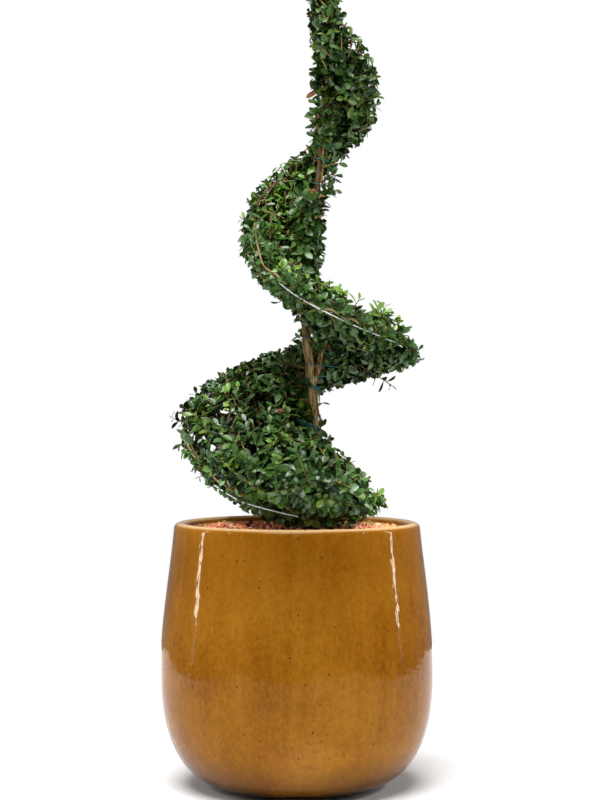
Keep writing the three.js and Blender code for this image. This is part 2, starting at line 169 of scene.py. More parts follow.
# Shoots: each grows from a limb inside the band to the clipped surface
SECTION_POINTS = 241
SECTION_LEAST_ROWS = 3
SHOOT_SPREAD = 0.0126
SHOOT_JITTER = (-0.45, 0.45)
SHOOT_END_SCALE = (0.935, 1.0)
SHOOT_STRAIGHT = (0.018, 0.034)
SHOOT_LEAN = 0.35
SHOOT_STRAY = 0.15
SHOOT_POINTS = 8
SHOOT_RADII = (0.0011, 0.0006)
SHOOT_SIDES = 4
STRAY_SHARE = 0.035
STRAY_SCALE = (1.03, 1.09)
INNER_SHARE = 0.25
INNER_SCALE = (0.20, 0.80)
SHADED_TILT = 0.9

# Runners: long clipped shoots along the surface, shorter where the band is slim
RUNNERS = 160
RUNNER_LENGTH = (0.026, 0.058)
RUNNER_FULL_REACH = 0.12
RUNNER_SHORTEST = 0.3
RUNNER_LEAST_RADIUS = 0.01
RUNNER_HEADING = math.radians(60)
RUNNER_HEADING_SPREAD = math.radians(50)
RUNNER_TILT = 0.9
RUNNER_STEEPEST = 1.5
RUNNER_SCALE = (0.94, 1.01)

# Sleeves of short shoots round the trunk: lowest and highest place, number, longest reach, and first and
# last side in degrees from the right
SLEEVES = (
    (0.500, 0.575, 14, 0.009, 0, 360),
    (0.640, 0.705, 22, 0.012, 0, 360),
    (0.705, 0.800, 130, 0.017, 0, 360),
    (0.730, 0.855, 70, 0.042, 170, 265),
    (0.800, 0.865, 80, 0.011, 0, 360),
    (0.938, 1.000, 50, 0.016, 0, 360),
    (1.000, 1.190, 170, 0.014, 0, 360),
    (0.510, 0.618, 80, 0.048, 165, 208),
)
SLEEVE_LENGTH = (0.45, 1)
SLEEVE_RISE = (0.002, 0.014)
SLEEVE_SAG = 0.002
SLEEVE_LEAVES = 6

# Sprigs that stick out of the clipped outline: root, end and tint of the leaves of each
SPRIGS = (
    ((0.046, -0.010, 0.408), (0.116, 0.004, 0.406), "olive"),
    ((0.046, -0.018, 0.398), (0.106, -0.004, 0.417), "dark"),
    ((0.026, -0.010, 0.498), (0.048, -0.016, 0.508), "mid"),
    ((0.028, -0.008, 0.488), (0.046, -0.012, 0.495), "dark"),
    ((0.140, -0.022, 0.640), (0.178, -0.024, 0.639), "mid"),
    ((0.088, 0.030, 0.620), (0.142, 0.030, 0.586), "dark"),
    ((0.076, -0.100, 0.686), (0.088, -0.103, 0.708), "fresh"),
    ((-0.008, -0.058, 0.714), (-0.026, -0.062, 0.706), "mid"),
    ((-0.064, -0.012, 0.824), (-0.082, -0.014, 0.832), "new"),
    ((0.027, -0.001, 0.850), (0.024, -0.019, 0.868), "dead"),
)

# Clumps of sprigs: first and last root, growth and number of the sprigs, and tints of their leaves in turn
CLUMPS = (
    ((0.078, -0.010, 0.402), (0.104, -0.004, 0.416), (0.026, 0, 0.006), 26, ("dark", "olive", "mid")),
    ((0.026, -0.082, 0.716), (0.066, -0.088, 0.694), (0.006, -0.008, 0.020), 20, ("new", "mid", "fresh")),
    ((0.034, -0.002, 0.856), (0.037, -0.002, 0.908), (0.021, -0.003, 0.010), 9, ("mid", "cool", "dark")),
    ((0.104, -0.064, 0.672), (0.150, -0.046, 0.654), (0.004, -0.006, 0.020), 22, ("new", "fresh", "mid")),
)
CLUMP_LENGTH = (0.6, 1.1)
CLUMP_STRAY = 0.25
SPRIG_ARCH = 0.003
SPRIG_LEAVES = 12

# Gaps that let the sky through the left side of the lowest turn: where they lie across and up, and how wide
SKY_GAPS = 12
SKY_GAP_X = (-0.138, -0.040)
SKY_GAP_Z = (0.492, 0.562)
SKY_GAP_RADIUS = (0.0026, 0.0039)

# Clearings: lines that stay in sight of the front, from start to end, and how wide the leaves leave them
CLEARINGS = (
    ((0.035, 0.002, 0.606), (0.046, 0.008, 0.656), 0.0060),
    ((-0.006, -0.026, 0.538), (0.016, -0.026, 0.531), 0.0030),
)

# Leaves and their places on a shoot
LEAVES_PER_SHOOT = 10
LEAF_STEP = 0.0048
LEAF_STEP_SPREAD = (0.8, 1.25)
LEAF_FIRST_STEP = 0.2
LEAF_LENGTH = 0.0168
LEAF_LENGTH_SPREAD = 0.13
LEAF_LENGTH_LIMITS = (0.6, 1.35)
LEAF_WIDTH = (0.43, 0.57)
LEAF_ROWS = (0.15, 0.36, 0.57, 0.77, 0.93)
LEAF_BULGE = 1.40
LEAF_FULLNESS = 0.66
LEAF_FOLD = 0.26
LEAF_CURL = (0.04, 0.28)
LEAF_ANGLE_TIP = math.radians(48)
LEAF_ANGLE_BACK = math.radians(82)
LEAF_ANGLE_RATE = 1.3
LEAF_ANGLE_SPREAD = 0.16
LEAF_TURN = math.radians(137.5)
LEAF_STRAY = 0.18
LEAF_TWIST = 0.50
LEAF_OUTWARD = 0.5
LEAF_LIGHT = 0.60
STEEP_SHOOT = 0.9
YOUNGEST_LEAF = 0.72
NEW_LEAVES = 5
NEW_LEAF_SIZE = 0.8
OUTER_LEAVES = 6
LEAF_MARGIN = 0.007
LEAF_CLEARANCE = 0.003
LEAF_MARKS = (0, 0.25, 0.5, 0.75, 1)
LEAF_ROUGHNESS = 0.36

# Base colour and gloss of each tint of leaf, and its weight among the shoots of the lowest turn, of the
# second turn and above. The two darkest, dullest tints are painted shade, for shaded inner shoots and the
# oldest leaves.
LEAF_TINTS = {
    "inner": ((0.006, 0.016, 0.004), 0.08, (0, 0, 0)),
    "deep_shade": ((0.010, 0.028, 0.006), 0.25, (0.100, 0.030, 0.080)),
    "dark": ((0.033, 0.086, 0.011), 0.58, (0.459, 0.0945, 0.297)),
    "mid": ((0.060, 0.148, 0.018), 0.58, (0.250, 0.250, 0.250)),
    "cool": ((0.064, 0.148, 0.034), 0.58, (0.190, 0.285, 0.228)),
    "olive": ((0.110, 0.195, 0.022), 0.58, (0.072, 0.040, 0.072)),
    "fresh": ((0.150, 0.290, 0.032), 0.58, (0.063, 0.126, 0.091)),
    "new": ((0.265, 0.440, 0.080), 0.58, (0.036, 0.120, 0.084)),
    "dead": ((0.200, 0.085, 0.028), 0.58, (0.004, 0.004, 0.004)),
}
TINTS = list(LEAF_TINTS)
# Weights by turn: the second turn, in more shade, has far fewer dark and deep leaves, a painted light
TINT_WEIGHTS = np.array([weights for _, _, weights in LEAF_TINTS.values()]).T
TINT_STARTS = (0.9, 1.8)
NEW_GROWTH_SHIFT = 0.4
NEW_GROWTH_LIMITS = (0.15, 1.4)

# Twigs and berries
OLIVE_TWIGS = 0.6
TWIG_COLOURS = {"olive": (0.28, 0.215, 0.045), "brown": (0.17, 0.090, 0.040)}
TWIG_ROUGHNESS = 0.6
BERRIES = 120
BERRY_COLOUR = (0.005, 0.005, 0.008)
BERRY_RADIUS = 0.0031
BERRY_SIZES = (0.8, 1.1)
BERRY_SIDES = 9
BERRY_RINGS = 5
BERRY_DROOP = 0.5
BERRY_STRAY = 0.5
BERRY_HIGHEST_TILT = 0.1
STALK_COLOUR = (0.20, 0.19, 0.05)
STALK_LENGTH = 0.001
STALK_RADIUS = 0.0005
STALK_POINTS = 3

# Training wire and trained branches: places on the band as turn, tilt in degrees and share of its reach
LINE_POINTS = 60
LINE_SIDES = 8
WIRE_LINES = (
    ((0.285, -42, 1.02), (0.40, -24, 1.01)),
    ((1.05, -21, 0.99), (1.15, -23, 1.02), (1.23, -15, 1.02), (1.30, -3, 0.98)),
)
WIRE_RADIUS = 0.0009
WIRE_COLOUR = (0.78, 0.78, 0.80)
BRANCH_LINES = (
    ((0.36, -26, 0.975), (0.48, 8, 0.975)),
    ((1.16, -13, 0.975), (1.21, -10, 0.985), (1.26, -17, 0.975)),
    ((1.29, 3, 0.97), (1.342, 8, 0.975), (1.385, 22, 0.975), (1.422, 25, 0.985)),
)
BRANCH_RADII = (0.0016, 0.0011)
BRANCH_WIGGLE = np.array([0.00054, 0, 0.0018])
BRANCH_WAVES = 17
BRANCH_COLOUR = (0.30, 0.195, 0.065)

# Thin stems that climb along the trunk: lowest and highest place, and the side in degrees from the right
STEMS = (((0.560, 0.690), 195), ((0.490, 0.585), -15), ((0.500, 0.600), -120), ((0.885, 0.945), -35))
STEM_OFFSET = 0.0016
STEM_WIND = 0.35
STEM_WAVES = 5

# Ties: left and right end of each loop of twine, as place across and height, and its depth from the trunk
TIES = (
    ((0.012, 0.488), (0.036, 0.492), 0.014),
    ((0.010, 0.512), (0.033, 0.508), 0.014),
    ((-0.006, 0.540), (0.031, 0.527), 0.026),
    ((-0.005, 0.536), (0.032, 0.525), 0.024),
    ((-0.003, 0.533), (0.030, 0.523), 0.022),
    ((0.006, 0.531), (0.032, 0.520), 0.014),
    ((0.009, 0.583), (0.039, 0.585), 0.009),
    ((0.009, 0.598), (0.031, 0.582), 0.009),
    ((0.009, 0.595), (0.031, 0.580), 0.009),
    ((0.010, 0.592), (0.030, 0.579), 0.009),
    ((0.008, 0.596), (0.044, 0.601), 0.009),
    ((0.007, 0.620), (0.060, 0.614), 0.009),
    ((0.036, 0.637), (0.062, 0.628), 0.010),
    ((0.008, 0.657), (0.026, 0.658), 0.009),
    ((0.024, 0.885), (0.041, 0.881), 0.007),
    ((0.028, 0.921), (0.047, 0.917), 0.007),
    ((0.029, 0.941), (0.054, 0.942), 0.007),
)
TIE_RADIUS = 0.0006
TIE_SIDES = 5
TIE_POINTS = 44
TIE_COLOUR = (0.012, 0.180, 0.170)

# Camera: the photograph's place, 2.75 m in front of the pot's axis
CAMERA_PLACE = np.array([0.0044, -2.75, 0.5658])
CAMERA_LENS = 84.15

# Studio: a floor, a room that is dim in front, light from above, two upright strips a side, and spots.
# A strip has a lower and an upper end and a power. A spot has a place, a target, a power, a spread in
# degrees and a softness.
FLOOR_REACH = 1.6
FLOOR_COLOUR = (0.90, 0.90, 0.90)
ROOM_DEPTH = (-0.98, 0.9)
ROOM_STRENGTH = (0.03, 0.28)
SUN_PLACE = (-0.25, -1.0, 3.4)
SUN_TARGET = (0, 0, 0.5)
SUN_POWER = 4.7
SUN_SPREAD = math.radians(40)
STRIPS = {"high": (0.27, 1.42, 10), "low": (0.02, 0.27, 0.15)}
STRIP_ASIDE = 2.0
STRIP_BEHIND = 0.08
STRIP_WIDTH = 0.08
SPOTS = {
    "crown_left": ((-0.8, -2.5, 1.5), (0.02, 0, 0.94), 80, 16, 0.25),
    "crown_right": ((0.8, -2.5, 1.5), (0.02, 0, 0.94), 105, 16, 0.25),
    "flank_left": ((-1.6, -0.6, 1.4), (-0.15, -0.05, 0.22), 30, 13, 0.05),
    "flank_right": ((1.6, -0.6, 1.4), (0.15, -0.05, 0.22), 55, 13, 0.05),
    "pool": ((0.01, -1.5, 2.0), (0.01, -0.26, 0), 600, 4, 0.05),
    "rim_left": ((-0.11, -2.3, 1.0), (-0.11, -0.11, 0.372), 80, 5, 0.05),
    "rim_middle": ((0, -2.3, 1.0), (0, -0.11, 0.372), 35, 5, 0.05),
    "rim_right": ((0.11, -2.3, 1.0), (0.11, -0.11, 0.372), 80, 5, 0.05),
    "mulch_left": ((-0.55, -2.2, 1.3), (-0.11, 0.07, 0.375), 180, 4, 0.03),
    "mulch_right": ((0.575, -2.2, 1.3), (0.115, 0.07, 0.375), 360, 4, 0.03),
}

rng = np.random.default_rng(SEED)


# Small helpers for arrays

def unit(vectors):
    return vectors / np.maximum(np.linalg.norm(vectors, axis=-1, keepdims=True), 1e-12)


def between(limits, *shape):
    return rng.uniform(limits[0], limits[1], shape)


def lerp(low, high, share):
    return low + (high - low) * share


def turned(radius, angle, height):
    """Points at a radius and an angle from the right about the upright axis, at a height."""
    return np.stack(np.broadcast_arrays(radius * np.cos(angle), radius * np.sin(angle), height), -1)


def segment_distance(points, start, end):
    """Distance of points from the straight line between two ends."""
    along = np.subtract(end, start)
    share = np.clip((points - start) @ along / (along @ along), 0, 1)
    return np.linalg.norm(points - start - share[..., None] * along, axis=-1)


def repeated(template_faces, corner_count, copies):
    """Triangles of a number of copies whose corners follow each other."""
    offsets = np.arange(copies)[:, None, None] * corner_count
    return (template_faces[None] + offsets).reshape(-1, 3)


def ring_angles(sides):
    return np.arange(sides) * FULL_TURN / sides


def grid_faces(rings, sides):
    """Triangles of a wall of rings, each ring closed on itself."""
    ring = np.arange(rings - 1)[:, None] * sides
    side = np.arange(sides)[None]
    after = (side + 1) % sides
    a, b = ring + side, ring + after
    c, d = a + sides, b + sides
    return np.concatenate([np.stack([a, c, d], -1).reshape(-1, 3), np.stack([a, d, b], -1).reshape(-1, 3)])


def capped_faces(rings, sides):
    """Triangles of a wall of rings with a fan at each end. The two poles follow the rings' corners."""
    first = np.arange(sides)
    after = (first + 1) % sides
    last = (rings - 1) * sides
    start = np.stack([np.full(sides, rings * sides), first, after], -1)
    end = np.stack([np.full(sides, rings * sides + 1), last + after, last + first], -1)
    return np.concatenate([grid_faces(rings, sides), start, end])


def tubes(paths, radii, sides):
    """Closed round tubes along paths that have equal numbers of points."""
    count, rings, _ = paths.shape
    tangent = unit(np.gradient(paths, axis=1))
    helper = np.eye(3)[np.abs(tangent).max(axis=1).argmin(axis=-1)]
    side = unit(np.cross(tangent, helper[:, None]))
    over = np.cross(side, tangent)
    angle = ring_angles(sides)
    ring = side[:, :, None] * np.cos(angle)[:, None] + over[:, :, None] * np.sin(angle)[:, None]
    wall = paths[:, :, None] + ring * np.broadcast_to(radii, (count, rings))[:, :, None, None]
    corners = np.concatenate([wall.reshape(count, -1, 3), paths[:, :1], paths[:, -1:]], axis=1)
    return corners.reshape(-1, 3), repeated(capped_faces(rings, sides), corners.shape[1], count)


def value_noise(cells, around, along):
    """Smooth random heights in -1..1 over a lattice that closes on itself around."""
    values = rng.uniform(-1, 1, cells)
    u = np.mod(around, 1) * cells[0]
    # The last place lies just short of the last row, so that every place has a row after it
    v = np.clip(along, 0, 1) * (cells[1] - 1.001)
    i, j = u.astype(int) % cells[0], v.astype(int)
    s, t = u - np.floor(u), v - j
    s, t = s * s * (3 - 2 * s), t * t * (3 - 2 * t)
    after = (i + 1) % cells[0]
    low = lerp(values[i, j], values[after, j], s)
    high = lerp(values[i, j + 1], values[after, j + 1], s)
    return lerp(low, high, t)


def catmull_rom(points, along, extend):
    """Points at shares of a curve through the given ones, whose ends are extended or repeated."""
    points = np.asarray(points, float)
    before = 2 * points[0] - points[1] if extend else points[0]
    after = 2 * points[-1] - points[-2] if extend else points[-1]
    padded = np.vstack([before, points, after])
    place = np.clip(along, 0, 1) * (len(points) - 1)
    step = np.minimum(place.astype(int), len(points) - 2)
    t = (place - step)[..., None]
    a, b, c, d = (padded[step + i] for i in range(4))
    return b + 0.5 * t * (c - a + t * (2 * a - 5 * b + 4 * c - d + t * (3 * (b - c) + d - a)))


def bezier(start, start_pull, end_pull, end, steps):
    t = np.linspace(0, 1, steps + 1)[:, None]
    points = [np.asarray(point, float) for point in (start, start_pull, end_pull, end)]
    weights = ((1 - t) ** 3, 3 * t * (1 - t) ** 2, 3 * t * t * (1 - t), t ** 3)
    return sum(weight * point for weight, point in zip(weights, points))


# Pieces and materials

def add_object(name, data):
    item = bpy.data.objects.new(name, data)
    bpy.context.scene.collection.objects.link(item)
    return item


def add_mesh(name, shape, materials, smooth):
    """Object from a pair of corners and faces."""
    corners, faces = shape
    mesh = bpy.data.meshes.new(name)
    mesh.from_pydata(corners.tolist(), [], faces.tolist())
    mesh.polygons.foreach_set("use_smooth", np.full(len(faces), smooth))
    for material in materials:
        mesh.materials.append(material)
    return add_object(name, mesh)


def make_piece(name, shape, materials, nodes=(), smooth=True):
    """Mesh that rides on the part and stands for some of its nodes."""
    piece = add_mesh(name, shape, materials, smooth)
    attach(piece, "root")
    if nodes:
        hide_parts(*nodes)
    return piece


def set_inputs(tree, node, inputs):
    """Link or set a node's inputs, which are sockets or plain values."""
    for key, value in inputs.items():
        if isinstance(value, bpy.types.NodeSocket):
            tree.links.new(value, node.inputs[key])
        else:
            node.inputs[key].default_value = value


def node_material(name, looks):
    """Material whose shader takes the inputs that looks(tree) gives."""
    material = bpy.data.materials.new(name)
    material.use_nodes = True
    tree = material.node_tree
    set_inputs(tree, tree.nodes["Principled BSDF"], looks(tree))
    return material


def plain_material(name, colour, roughness, gloss=0.5):
    inputs = {"Base Color": (*colour, 1), "Roughness": roughness, "Specular IOR Level": gloss}
    return node_material(name, lambda tree: inputs)


def add_node(tree, kind, inputs, **settings):
    node = tree.nodes.new(kind)
    for name, value in settings.items():
        setattr(node, name, value)
    set_inputs(tree, node, inputs)
    return node


def place_node(tree, stretch=(1, 1, 1)):
    """Place on the object in metres, stretched along the axes."""
    place = tree.nodes.new("ShaderNodeTexCoord").outputs["Object"]
    return add_node(tree, "ShaderNodeVectorMath", {0: place, 1: stretch}, operation="MULTIPLY").outputs[0]


def height_node(tree):
    return add_node(tree, "ShaderNodeSeparateXYZ", {0: place_node(tree)}).outputs["Z"]


def noise_node(tree, scale, detail, roughness=0.55, stretch=(1, 1, 1)):
    inputs = {"Vector": place_node(tree, stretch), "Scale": scale, "Detail": detail, "Roughness": roughness}
    return add_node(tree, "ShaderNodeTexNoise", inputs).outputs[0]


def dots_node(tree, scale, size, share, stretch=(1, 1, 1)):
    """One inside small round dots, nought elsewhere. Only a share of the dots is kept."""
    cells = add_node(tree, "ShaderNodeTexVoronoi", {"Vector": place_node(tree, stretch), "Scale": scale})
    draw = add_node(tree, "ShaderNodeSeparateColor", {0: cells.outputs["Color"]}).outputs[0]
    dot = map_node(tree, cells.outputs["Distance"], size, size / 2)
    return math_node(tree, "MULTIPLY", dot, math_node(tree, "LESS_THAN", draw, share))


def math_node(tree, operation, first, second):
    return add_node(tree, "ShaderNodeMath", {0: first, 1: second}, operation=operation).outputs[0]


def weighted_sum(tree, *terms):
    """Sum of sockets, each with its weight."""
    parts = [math_node(tree, "MULTIPLY", socket, weight) for socket, weight in terms]
    total = parts[0]
    for part in parts[1:]:
        total = math_node(tree, "ADD", total, part)
    return total


def map_node(tree, value, low, high, to_low=0.0, to_high=1.0):
    inputs = {"Value": value, "From Min": low, "From Max": high, "To Min": to_low, "To Max": to_high}
    return add_node(tree, "ShaderNodeMapRange", inputs).outputs[0]


def ramp_node(tree, value, *stops):
    ramp = add_node(tree, "ShaderNodeValToRGB", {"Fac": value})
    elements = ramp.color_ramp.elements
    while len(elements) < len(stops):
        elements.new(0.5)
    for element, (position, colour) in zip(elements, stops):
        element.position = position
        element.color = (*colour, 1)
    return ramp.outputs["Color"]


def mix_node(tree, share, socket, colour):
    """Colour between a socket's and one of three numbers."""
    inputs = {0: share, 6: socket, 7: (*colour, 1)}
    return add_node(tree, "ShaderNodeMix", inputs, data_type="RGBA").outputs[2]


def bump_node(tree, height, strength, distance):
    inputs = {"Height": height, "Strength": strength, "Distance": distance}
    return add_node(tree, "ShaderNodeBump", inputs).outputs["Normal"]


# Middle range of a noise, which a roughness follows
NOISE_RANGE = (0.3, 0.7)


# Pot

GLAZE_DARK = (0.175, 0.058, 0.003)
GLAZE_BODY = (0.255, 0.096, 0.006)
GLAZE_PALE = (0.325, 0.134, 0.011)
# Upper wall: painted shade that darkens the glaze, fading in between two heights
GLAZE_TOP_SHADE = (0.135, 0.047, 0.002)
GLAZE_TOP_SHADE_HEIGHTS = (0.24, 0.34)
GLAZE_TOP_SHADE_SHARE = 0.4
# Rim: paler where the glaze thins on the edge, and partly a painted highlight along the lip's top
GLAZE_RIM_AND_HIGHLIGHT = (0.66, 0.44, 0.21)
GLAZE_RIM_HIGHLIGHT_DEPTH = 0.004
# Foot: painted shade, darkest at the floor and gone by a height
GLAZE_FOOT_SHADE = (0.050, 0.016, 0.0005)
GLAZE_FOOT_SHADE_HEIGHT = 0.070
GLAZE_PINHOLE = (0.050, 0.018, 0.003)
GLAZE_SPECK_SHARE = 0.45
GLAZE_SHINE = (1, 0.84, 0.55, 1)
# Inside glaze: far paler than the outer glaze, painted light on the inner wall
INSIDE_DARK = (0.52, 0.28, 0.07)
INSIDE_PALE = (0.80, 0.52, 0.22)


def glaze_looks(tree):
    """Honey glaze with clouds, mottling, thin runs and pinholes. Painted shade darkens the upper wall and
    the foot, and the rim is paler, partly thinner glaze and partly a painted highlight.
    """
    height = height_node(tree)
    clouds = noise_node(tree, scale=7, detail=5)
    mottle = noise_node(tree, scale=165, detail=5, roughness=0.72, stretch=(1, 1, 0.75))
    runs = noise_node(tree, scale=1, detail=3, stretch=(60, 60, 2.4))
    tone = weighted_sum(tree, (clouds, 0.44), (mottle, 0.38), (runs, 0.18))
    colour = ramp_node(tree, tone, (0.39, GLAZE_DARK), (0.50, GLAZE_BODY), (0.61, GLAZE_PALE))
    # Painted shade over the upper wall
    top_shade = map_node(tree, height, *GLAZE_TOP_SHADE_HEIGHTS, 0, GLAZE_TOP_SHADE_SHARE)
    # Paler rim: thinner glaze on the edge and a painted highlight
    rim = map_node(tree, height, POT_HEIGHT - GLAZE_RIM_HIGHLIGHT_DEPTH, POT_HEIGHT)
    # Painted shade at the foot
    foot = map_node(tree, height, GLAZE_FOOT_SHADE_HEIGHT, 0)
    for share, place_colour in ((top_shade, GLAZE_TOP_SHADE), (rim, GLAZE_RIM_AND_HIGHLIGHT), (foot, GLAZE_FOOT_SHADE)):
        colour = mix_node(tree, share, colour, place_colour)
    pinholes = dots_node(tree, scale=95, size=0.14, share=0.24, stretch=(1, 1, 0.7))
    specks = dots_node(tree, scale=230, size=0.20, share=0.25)
    faint_specks = math_node(tree, "MULTIPLY", specks, GLAZE_SPECK_SHARE)
    marks = math_node(tree, "MAXIMUM", pinholes, faint_specks)
    throwing_lines = noise_node(tree, scale=1, detail=2, stretch=(2, 2, 60))
    ripples = noise_node(tree, scale=170, detail=2)
    swells = noise_node(tree, scale=42, detail=2)
    relief = weighted_sum(tree, (swells, 1.0), (ripples, 0.16), (throwing_lines, 0.35), (runs, 0.5))
    return {
        "Base Color": mix_node(tree, marks, colour, GLAZE_PINHOLE),
        "Roughness": map_node(tree, clouds, *NOISE_RANGE, 0.03, 0.08),
        "Specular IOR Level": 0.15,
        "Specular Tint": GLAZE_SHINE,
        "Normal": bump_node(tree, relief, strength=0.10, distance=0.004),
    }


# Glaze of the inside, paler than the outside's: painted light on the inner wall
def inside_glaze_painted_light_looks(tree):
    clouds = noise_node(tree, scale=24, detail=4)
    return {
        "Base Color": ramp_node(tree, clouds, (0.35, INSIDE_DARK), (0.65, INSIDE_PALE)),
        "Roughness": map_node(tree, clouds, *NOISE_RANGE, 0.12, 0.22),
        "Normal": bump_node(tree, clouds, strength=0.10, distance=0.003),
    }


def pot_side(wall, floor):
    """Radius and height from the floor's edge to the lip: two curves that meet upright at the belly."""
    foot = POT_FOOT_RADIUS - POT_FOOT_INSET * wall
    belly = POT_BELLY_RADIUS - wall
    rim = POT_RIM_RADIUS - wall
    lip = POT_HEIGHT - POT_LIP_HEIGHT
    low_pull = POT_BELLY_HEIGHT - POT_BELLY_PULL * (POT_BELLY_HEIGHT - floor) / POT_BELLY_HEIGHT
    middle = (belly, POT_BELLY_HEIGHT)
    lower = bezier((foot, floor), (foot + POT_FOOT_PULL, floor), (belly, low_pull), middle, POT_SIDE_STEPS)
    shoulder = (belly, POT_BELLY_HEIGHT + POT_SHOULDER_PULL)
    neck = (rim + POT_RIM_PULL[0], lip + POT_RIM_PULL[1])
    upper = bezier(middle, shoulder, neck, (rim, lip), POT_SIDE_STEPS)
    return np.vstack([lower, upper[1:]])


def pot_outline():
    """Outline from the underside over the lip to the inside floor, and where the inside starts."""
    outside = pot_side(0, 0)
    angle = np.linspace(0, math.pi, POT_LIP_STEPS + 1)[1:-1]
    lip_middle = POT_RIM_RADIUS - POT_WALL / 2
    lip = np.column_stack([
        lip_middle + POT_WALL / 2 * np.cos(angle),
        POT_HEIGHT - POT_LIP_HEIGHT + POT_LIP_HEIGHT * np.sin(angle),
    ])
    inside = pot_side(POT_WALL, POT_FLOOR)[::-1]
    return np.vstack([outside, lip, inside]), len(outside) + len(lip)


def pot_shape():
    """Turned pot with the slight waves of a thrown wall, and which of its faces lie inside."""
    outline, inside_start = pot_outline()
    angle = ring_angles(POT_SIDES)
    radius = np.repeat(outline[:, :1], POT_SIDES, axis=1)
    height = np.repeat(outline[:, 1:], POT_SIDES, axis=1)
    for waves, rise, depth in POT_WAVES:
        radius = radius + depth * np.sin(waves * angle + rise * height) * np.sin(rise * height + waves)
    radius = np.minimum(radius, POT_BELLY_RADIUS)
    wall = turned(radius, angle, height).reshape(-1, 3)
    poles = [[0, 0, outline[0, 1]], [0, 0, outline[-1, 1]]]
    faces = capped_faces(len(outline), POT_SIDES)[:, ::-1]
    is_inside = faces.min(axis=1) // POT_SIDES >= inside_start
    return (np.vstack([wall, poles]), faces), is_inside


def make_pot():
    shape, is_inside = pot_shape()
    glaze = node_material("honey_glaze", glaze_looks)
    inside_glaze_painted_light = node_material("inside_glaze_painted_light", inside_glaze_painted_light_looks)
    pot = make_piece("glazed_pot", shape, [glaze, inside_glaze_painted_light], ["pot"])
    pot.data.polygons.foreach_set("material_index", is_inside.astype(np.int32))


# Filling

SOIL_COLOURS = ((0.35, (0.018, 0.012, 0.008)), (0.65, (0.060, 0.040, 0.027)))
BED_COLOURS = ((0.38, (0.035, 0.014, 0.009)), (0.62, (0.16, 0.055, 0.026)))
CHIP_ROUGHNESS = 0.88
# Colour of each kind of chip and its share of them
CHIP_COLOURS = {
    "rust": ((0.90, 0.300, 0.125), 0.40),
    "brown": ((0.62, 0.205, 0.095), 0.26),
    "dark": ((0.16, 0.055, 0.028), 0.14),
    "pale": ((0.93, 0.56, 0.40), 0.20),
}


def crumb_looks(tree, colours, scale, detail, roughness, relief):
    crumbs = noise_node(tree, scale, detail)
    return {
        "Base Color": ramp_node(tree, crumbs, *colours),
        "Roughness": roughness,
        "Normal": bump_node(tree, crumbs, strength=relief, distance=0.003),
    }


def soil_looks(tree):
    return crumb_looks(tree, SOIL_COLOURS, scale=260, detail=5, roughness=0.95, relief=0.6)


def mulch_bed_looks(tree):
    return crumb_looks(tree, BED_COLOURS, scale=190, detail=4, roughness=0.92, relief=0.7)


def mulch_surface(radius):
    return MULCH_TOP - MULCH_EDGE_DROP * np.clip(radius / MULCH_RADIUS, 0, 1) ** 2


def mulch_bed_shape():
    """Lumpy round bed under the chips, closed below by its rim and a flat underside."""
    angle = ring_angles(BED_SIDES)
    radius = np.linspace(BED_FIRST_RING, MULCH_RADIUS, BED_RINGS)[:, None] * np.ones(BED_SIDES)
    lumps = value_noise(BED_LUMPS, angle / FULL_TURN + 0 * radius, radius / MULCH_RADIUS)
    top = mulch_surface(radius) - BED_DEPTH + BED_LUMP_HEIGHT * lumps
    radius = np.vstack([radius, radius[-1:], radius[:1]])
    height = np.vstack([top, np.full((2, BED_SIDES), MULCH_LOW.z)])
    wall = turned(radius, angle, height).reshape(-1, 3)
    poles = [[0, 0, MULCH_TOP - BED_DEPTH], [0, 0, MULCH_LOW.z]]
    return np.vstack([wall, poles]), capped_faces(len(radius), BED_SIDES)


def chip_shapes(count):
    """Splintered wedges of bark that lie in a loose layer."""
    length = between(CHIP_LENGTH, count) * between(CHIP_BREAKAGE, count)
    radius = (MULCH_RADIUS - length / 2) * np.sqrt(rng.random(count))
    angle = between((0, FULL_TURN), count)
    middle = turned(radius, angle, mulch_surface(radius) + between(CHIP_RISE, count))
    heading = between((0, FULL_TURN), count)
    tilt = between((-CHIP_TILT, CHIP_TILT), count)
    along = turned(np.cos(tilt), heading, np.sin(tilt))
    rolls = [between(CHIP_ROLL, count) for _ in range(2)]
    upward = unit(np.stack([*rolls, np.ones(count)], -1))
    side = unit(np.cross(upward, along))
    face = np.cross(along, side)
    ends = np.array([[x, y, z] for x in (-1, 1) for y in (-1, 1) for z in (-1, 1)]) / 2
    ends = ends * between(CHIP_RAGGEDNESS, count, *ends.shape)
    size = np.stack([length, between(CHIP_WIDTH, count), between(CHIP_THICKNESS, count)], -1)
    axes = np.stack([along, side, face], 1)
    corners = middle[:, None] + np.einsum("nci,nij->ncj", ends * size[:, None], axes)
    return corners.reshape(-1, 3), repeated(CHIP_FACES, corners.shape[1], count)


def make_filling():
    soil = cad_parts["potting_soil"]
    soil.data.materials.clear()
    soil.data.materials.append(node_material("potting_soil", soil_looks))
    bed = node_material("mulch_bed", mulch_bed_looks)
    make_piece("mulch_bed", mulch_bed_shape(), [bed], ["bark_mulch"])
    for name, (colour, share) in CHIP_COLOURS.items():
        material = plain_material(f"chips_{name}", colour, CHIP_ROUGHNESS)
        shape = chip_shapes(round(CHIPS * share))
        make_piece(f"mulch_chips_{name}", shape, [material], ["bark_mulch"], smooth=False)


# Trunk and bough

BARK_CRACK = (0.030, 0.015, 0.007)
BARK_BROWN = (0.21, 0.110, 0.040)
BARK_TAN = (0.42, 0.280, 0.115)
BARK_FLAKE = (0.62, 0.47, 0.24)
# Higher bark: dark and reddish, partly the leader's younger bark and partly painted shade inside the
# foliage
BARK_LEADER_AND_SHADE = (0.050, 0.022, 0.012)
LEADER_SHADE_START = (0.61, 0.68)
LEADER_SHADE_SHARE = 0.82


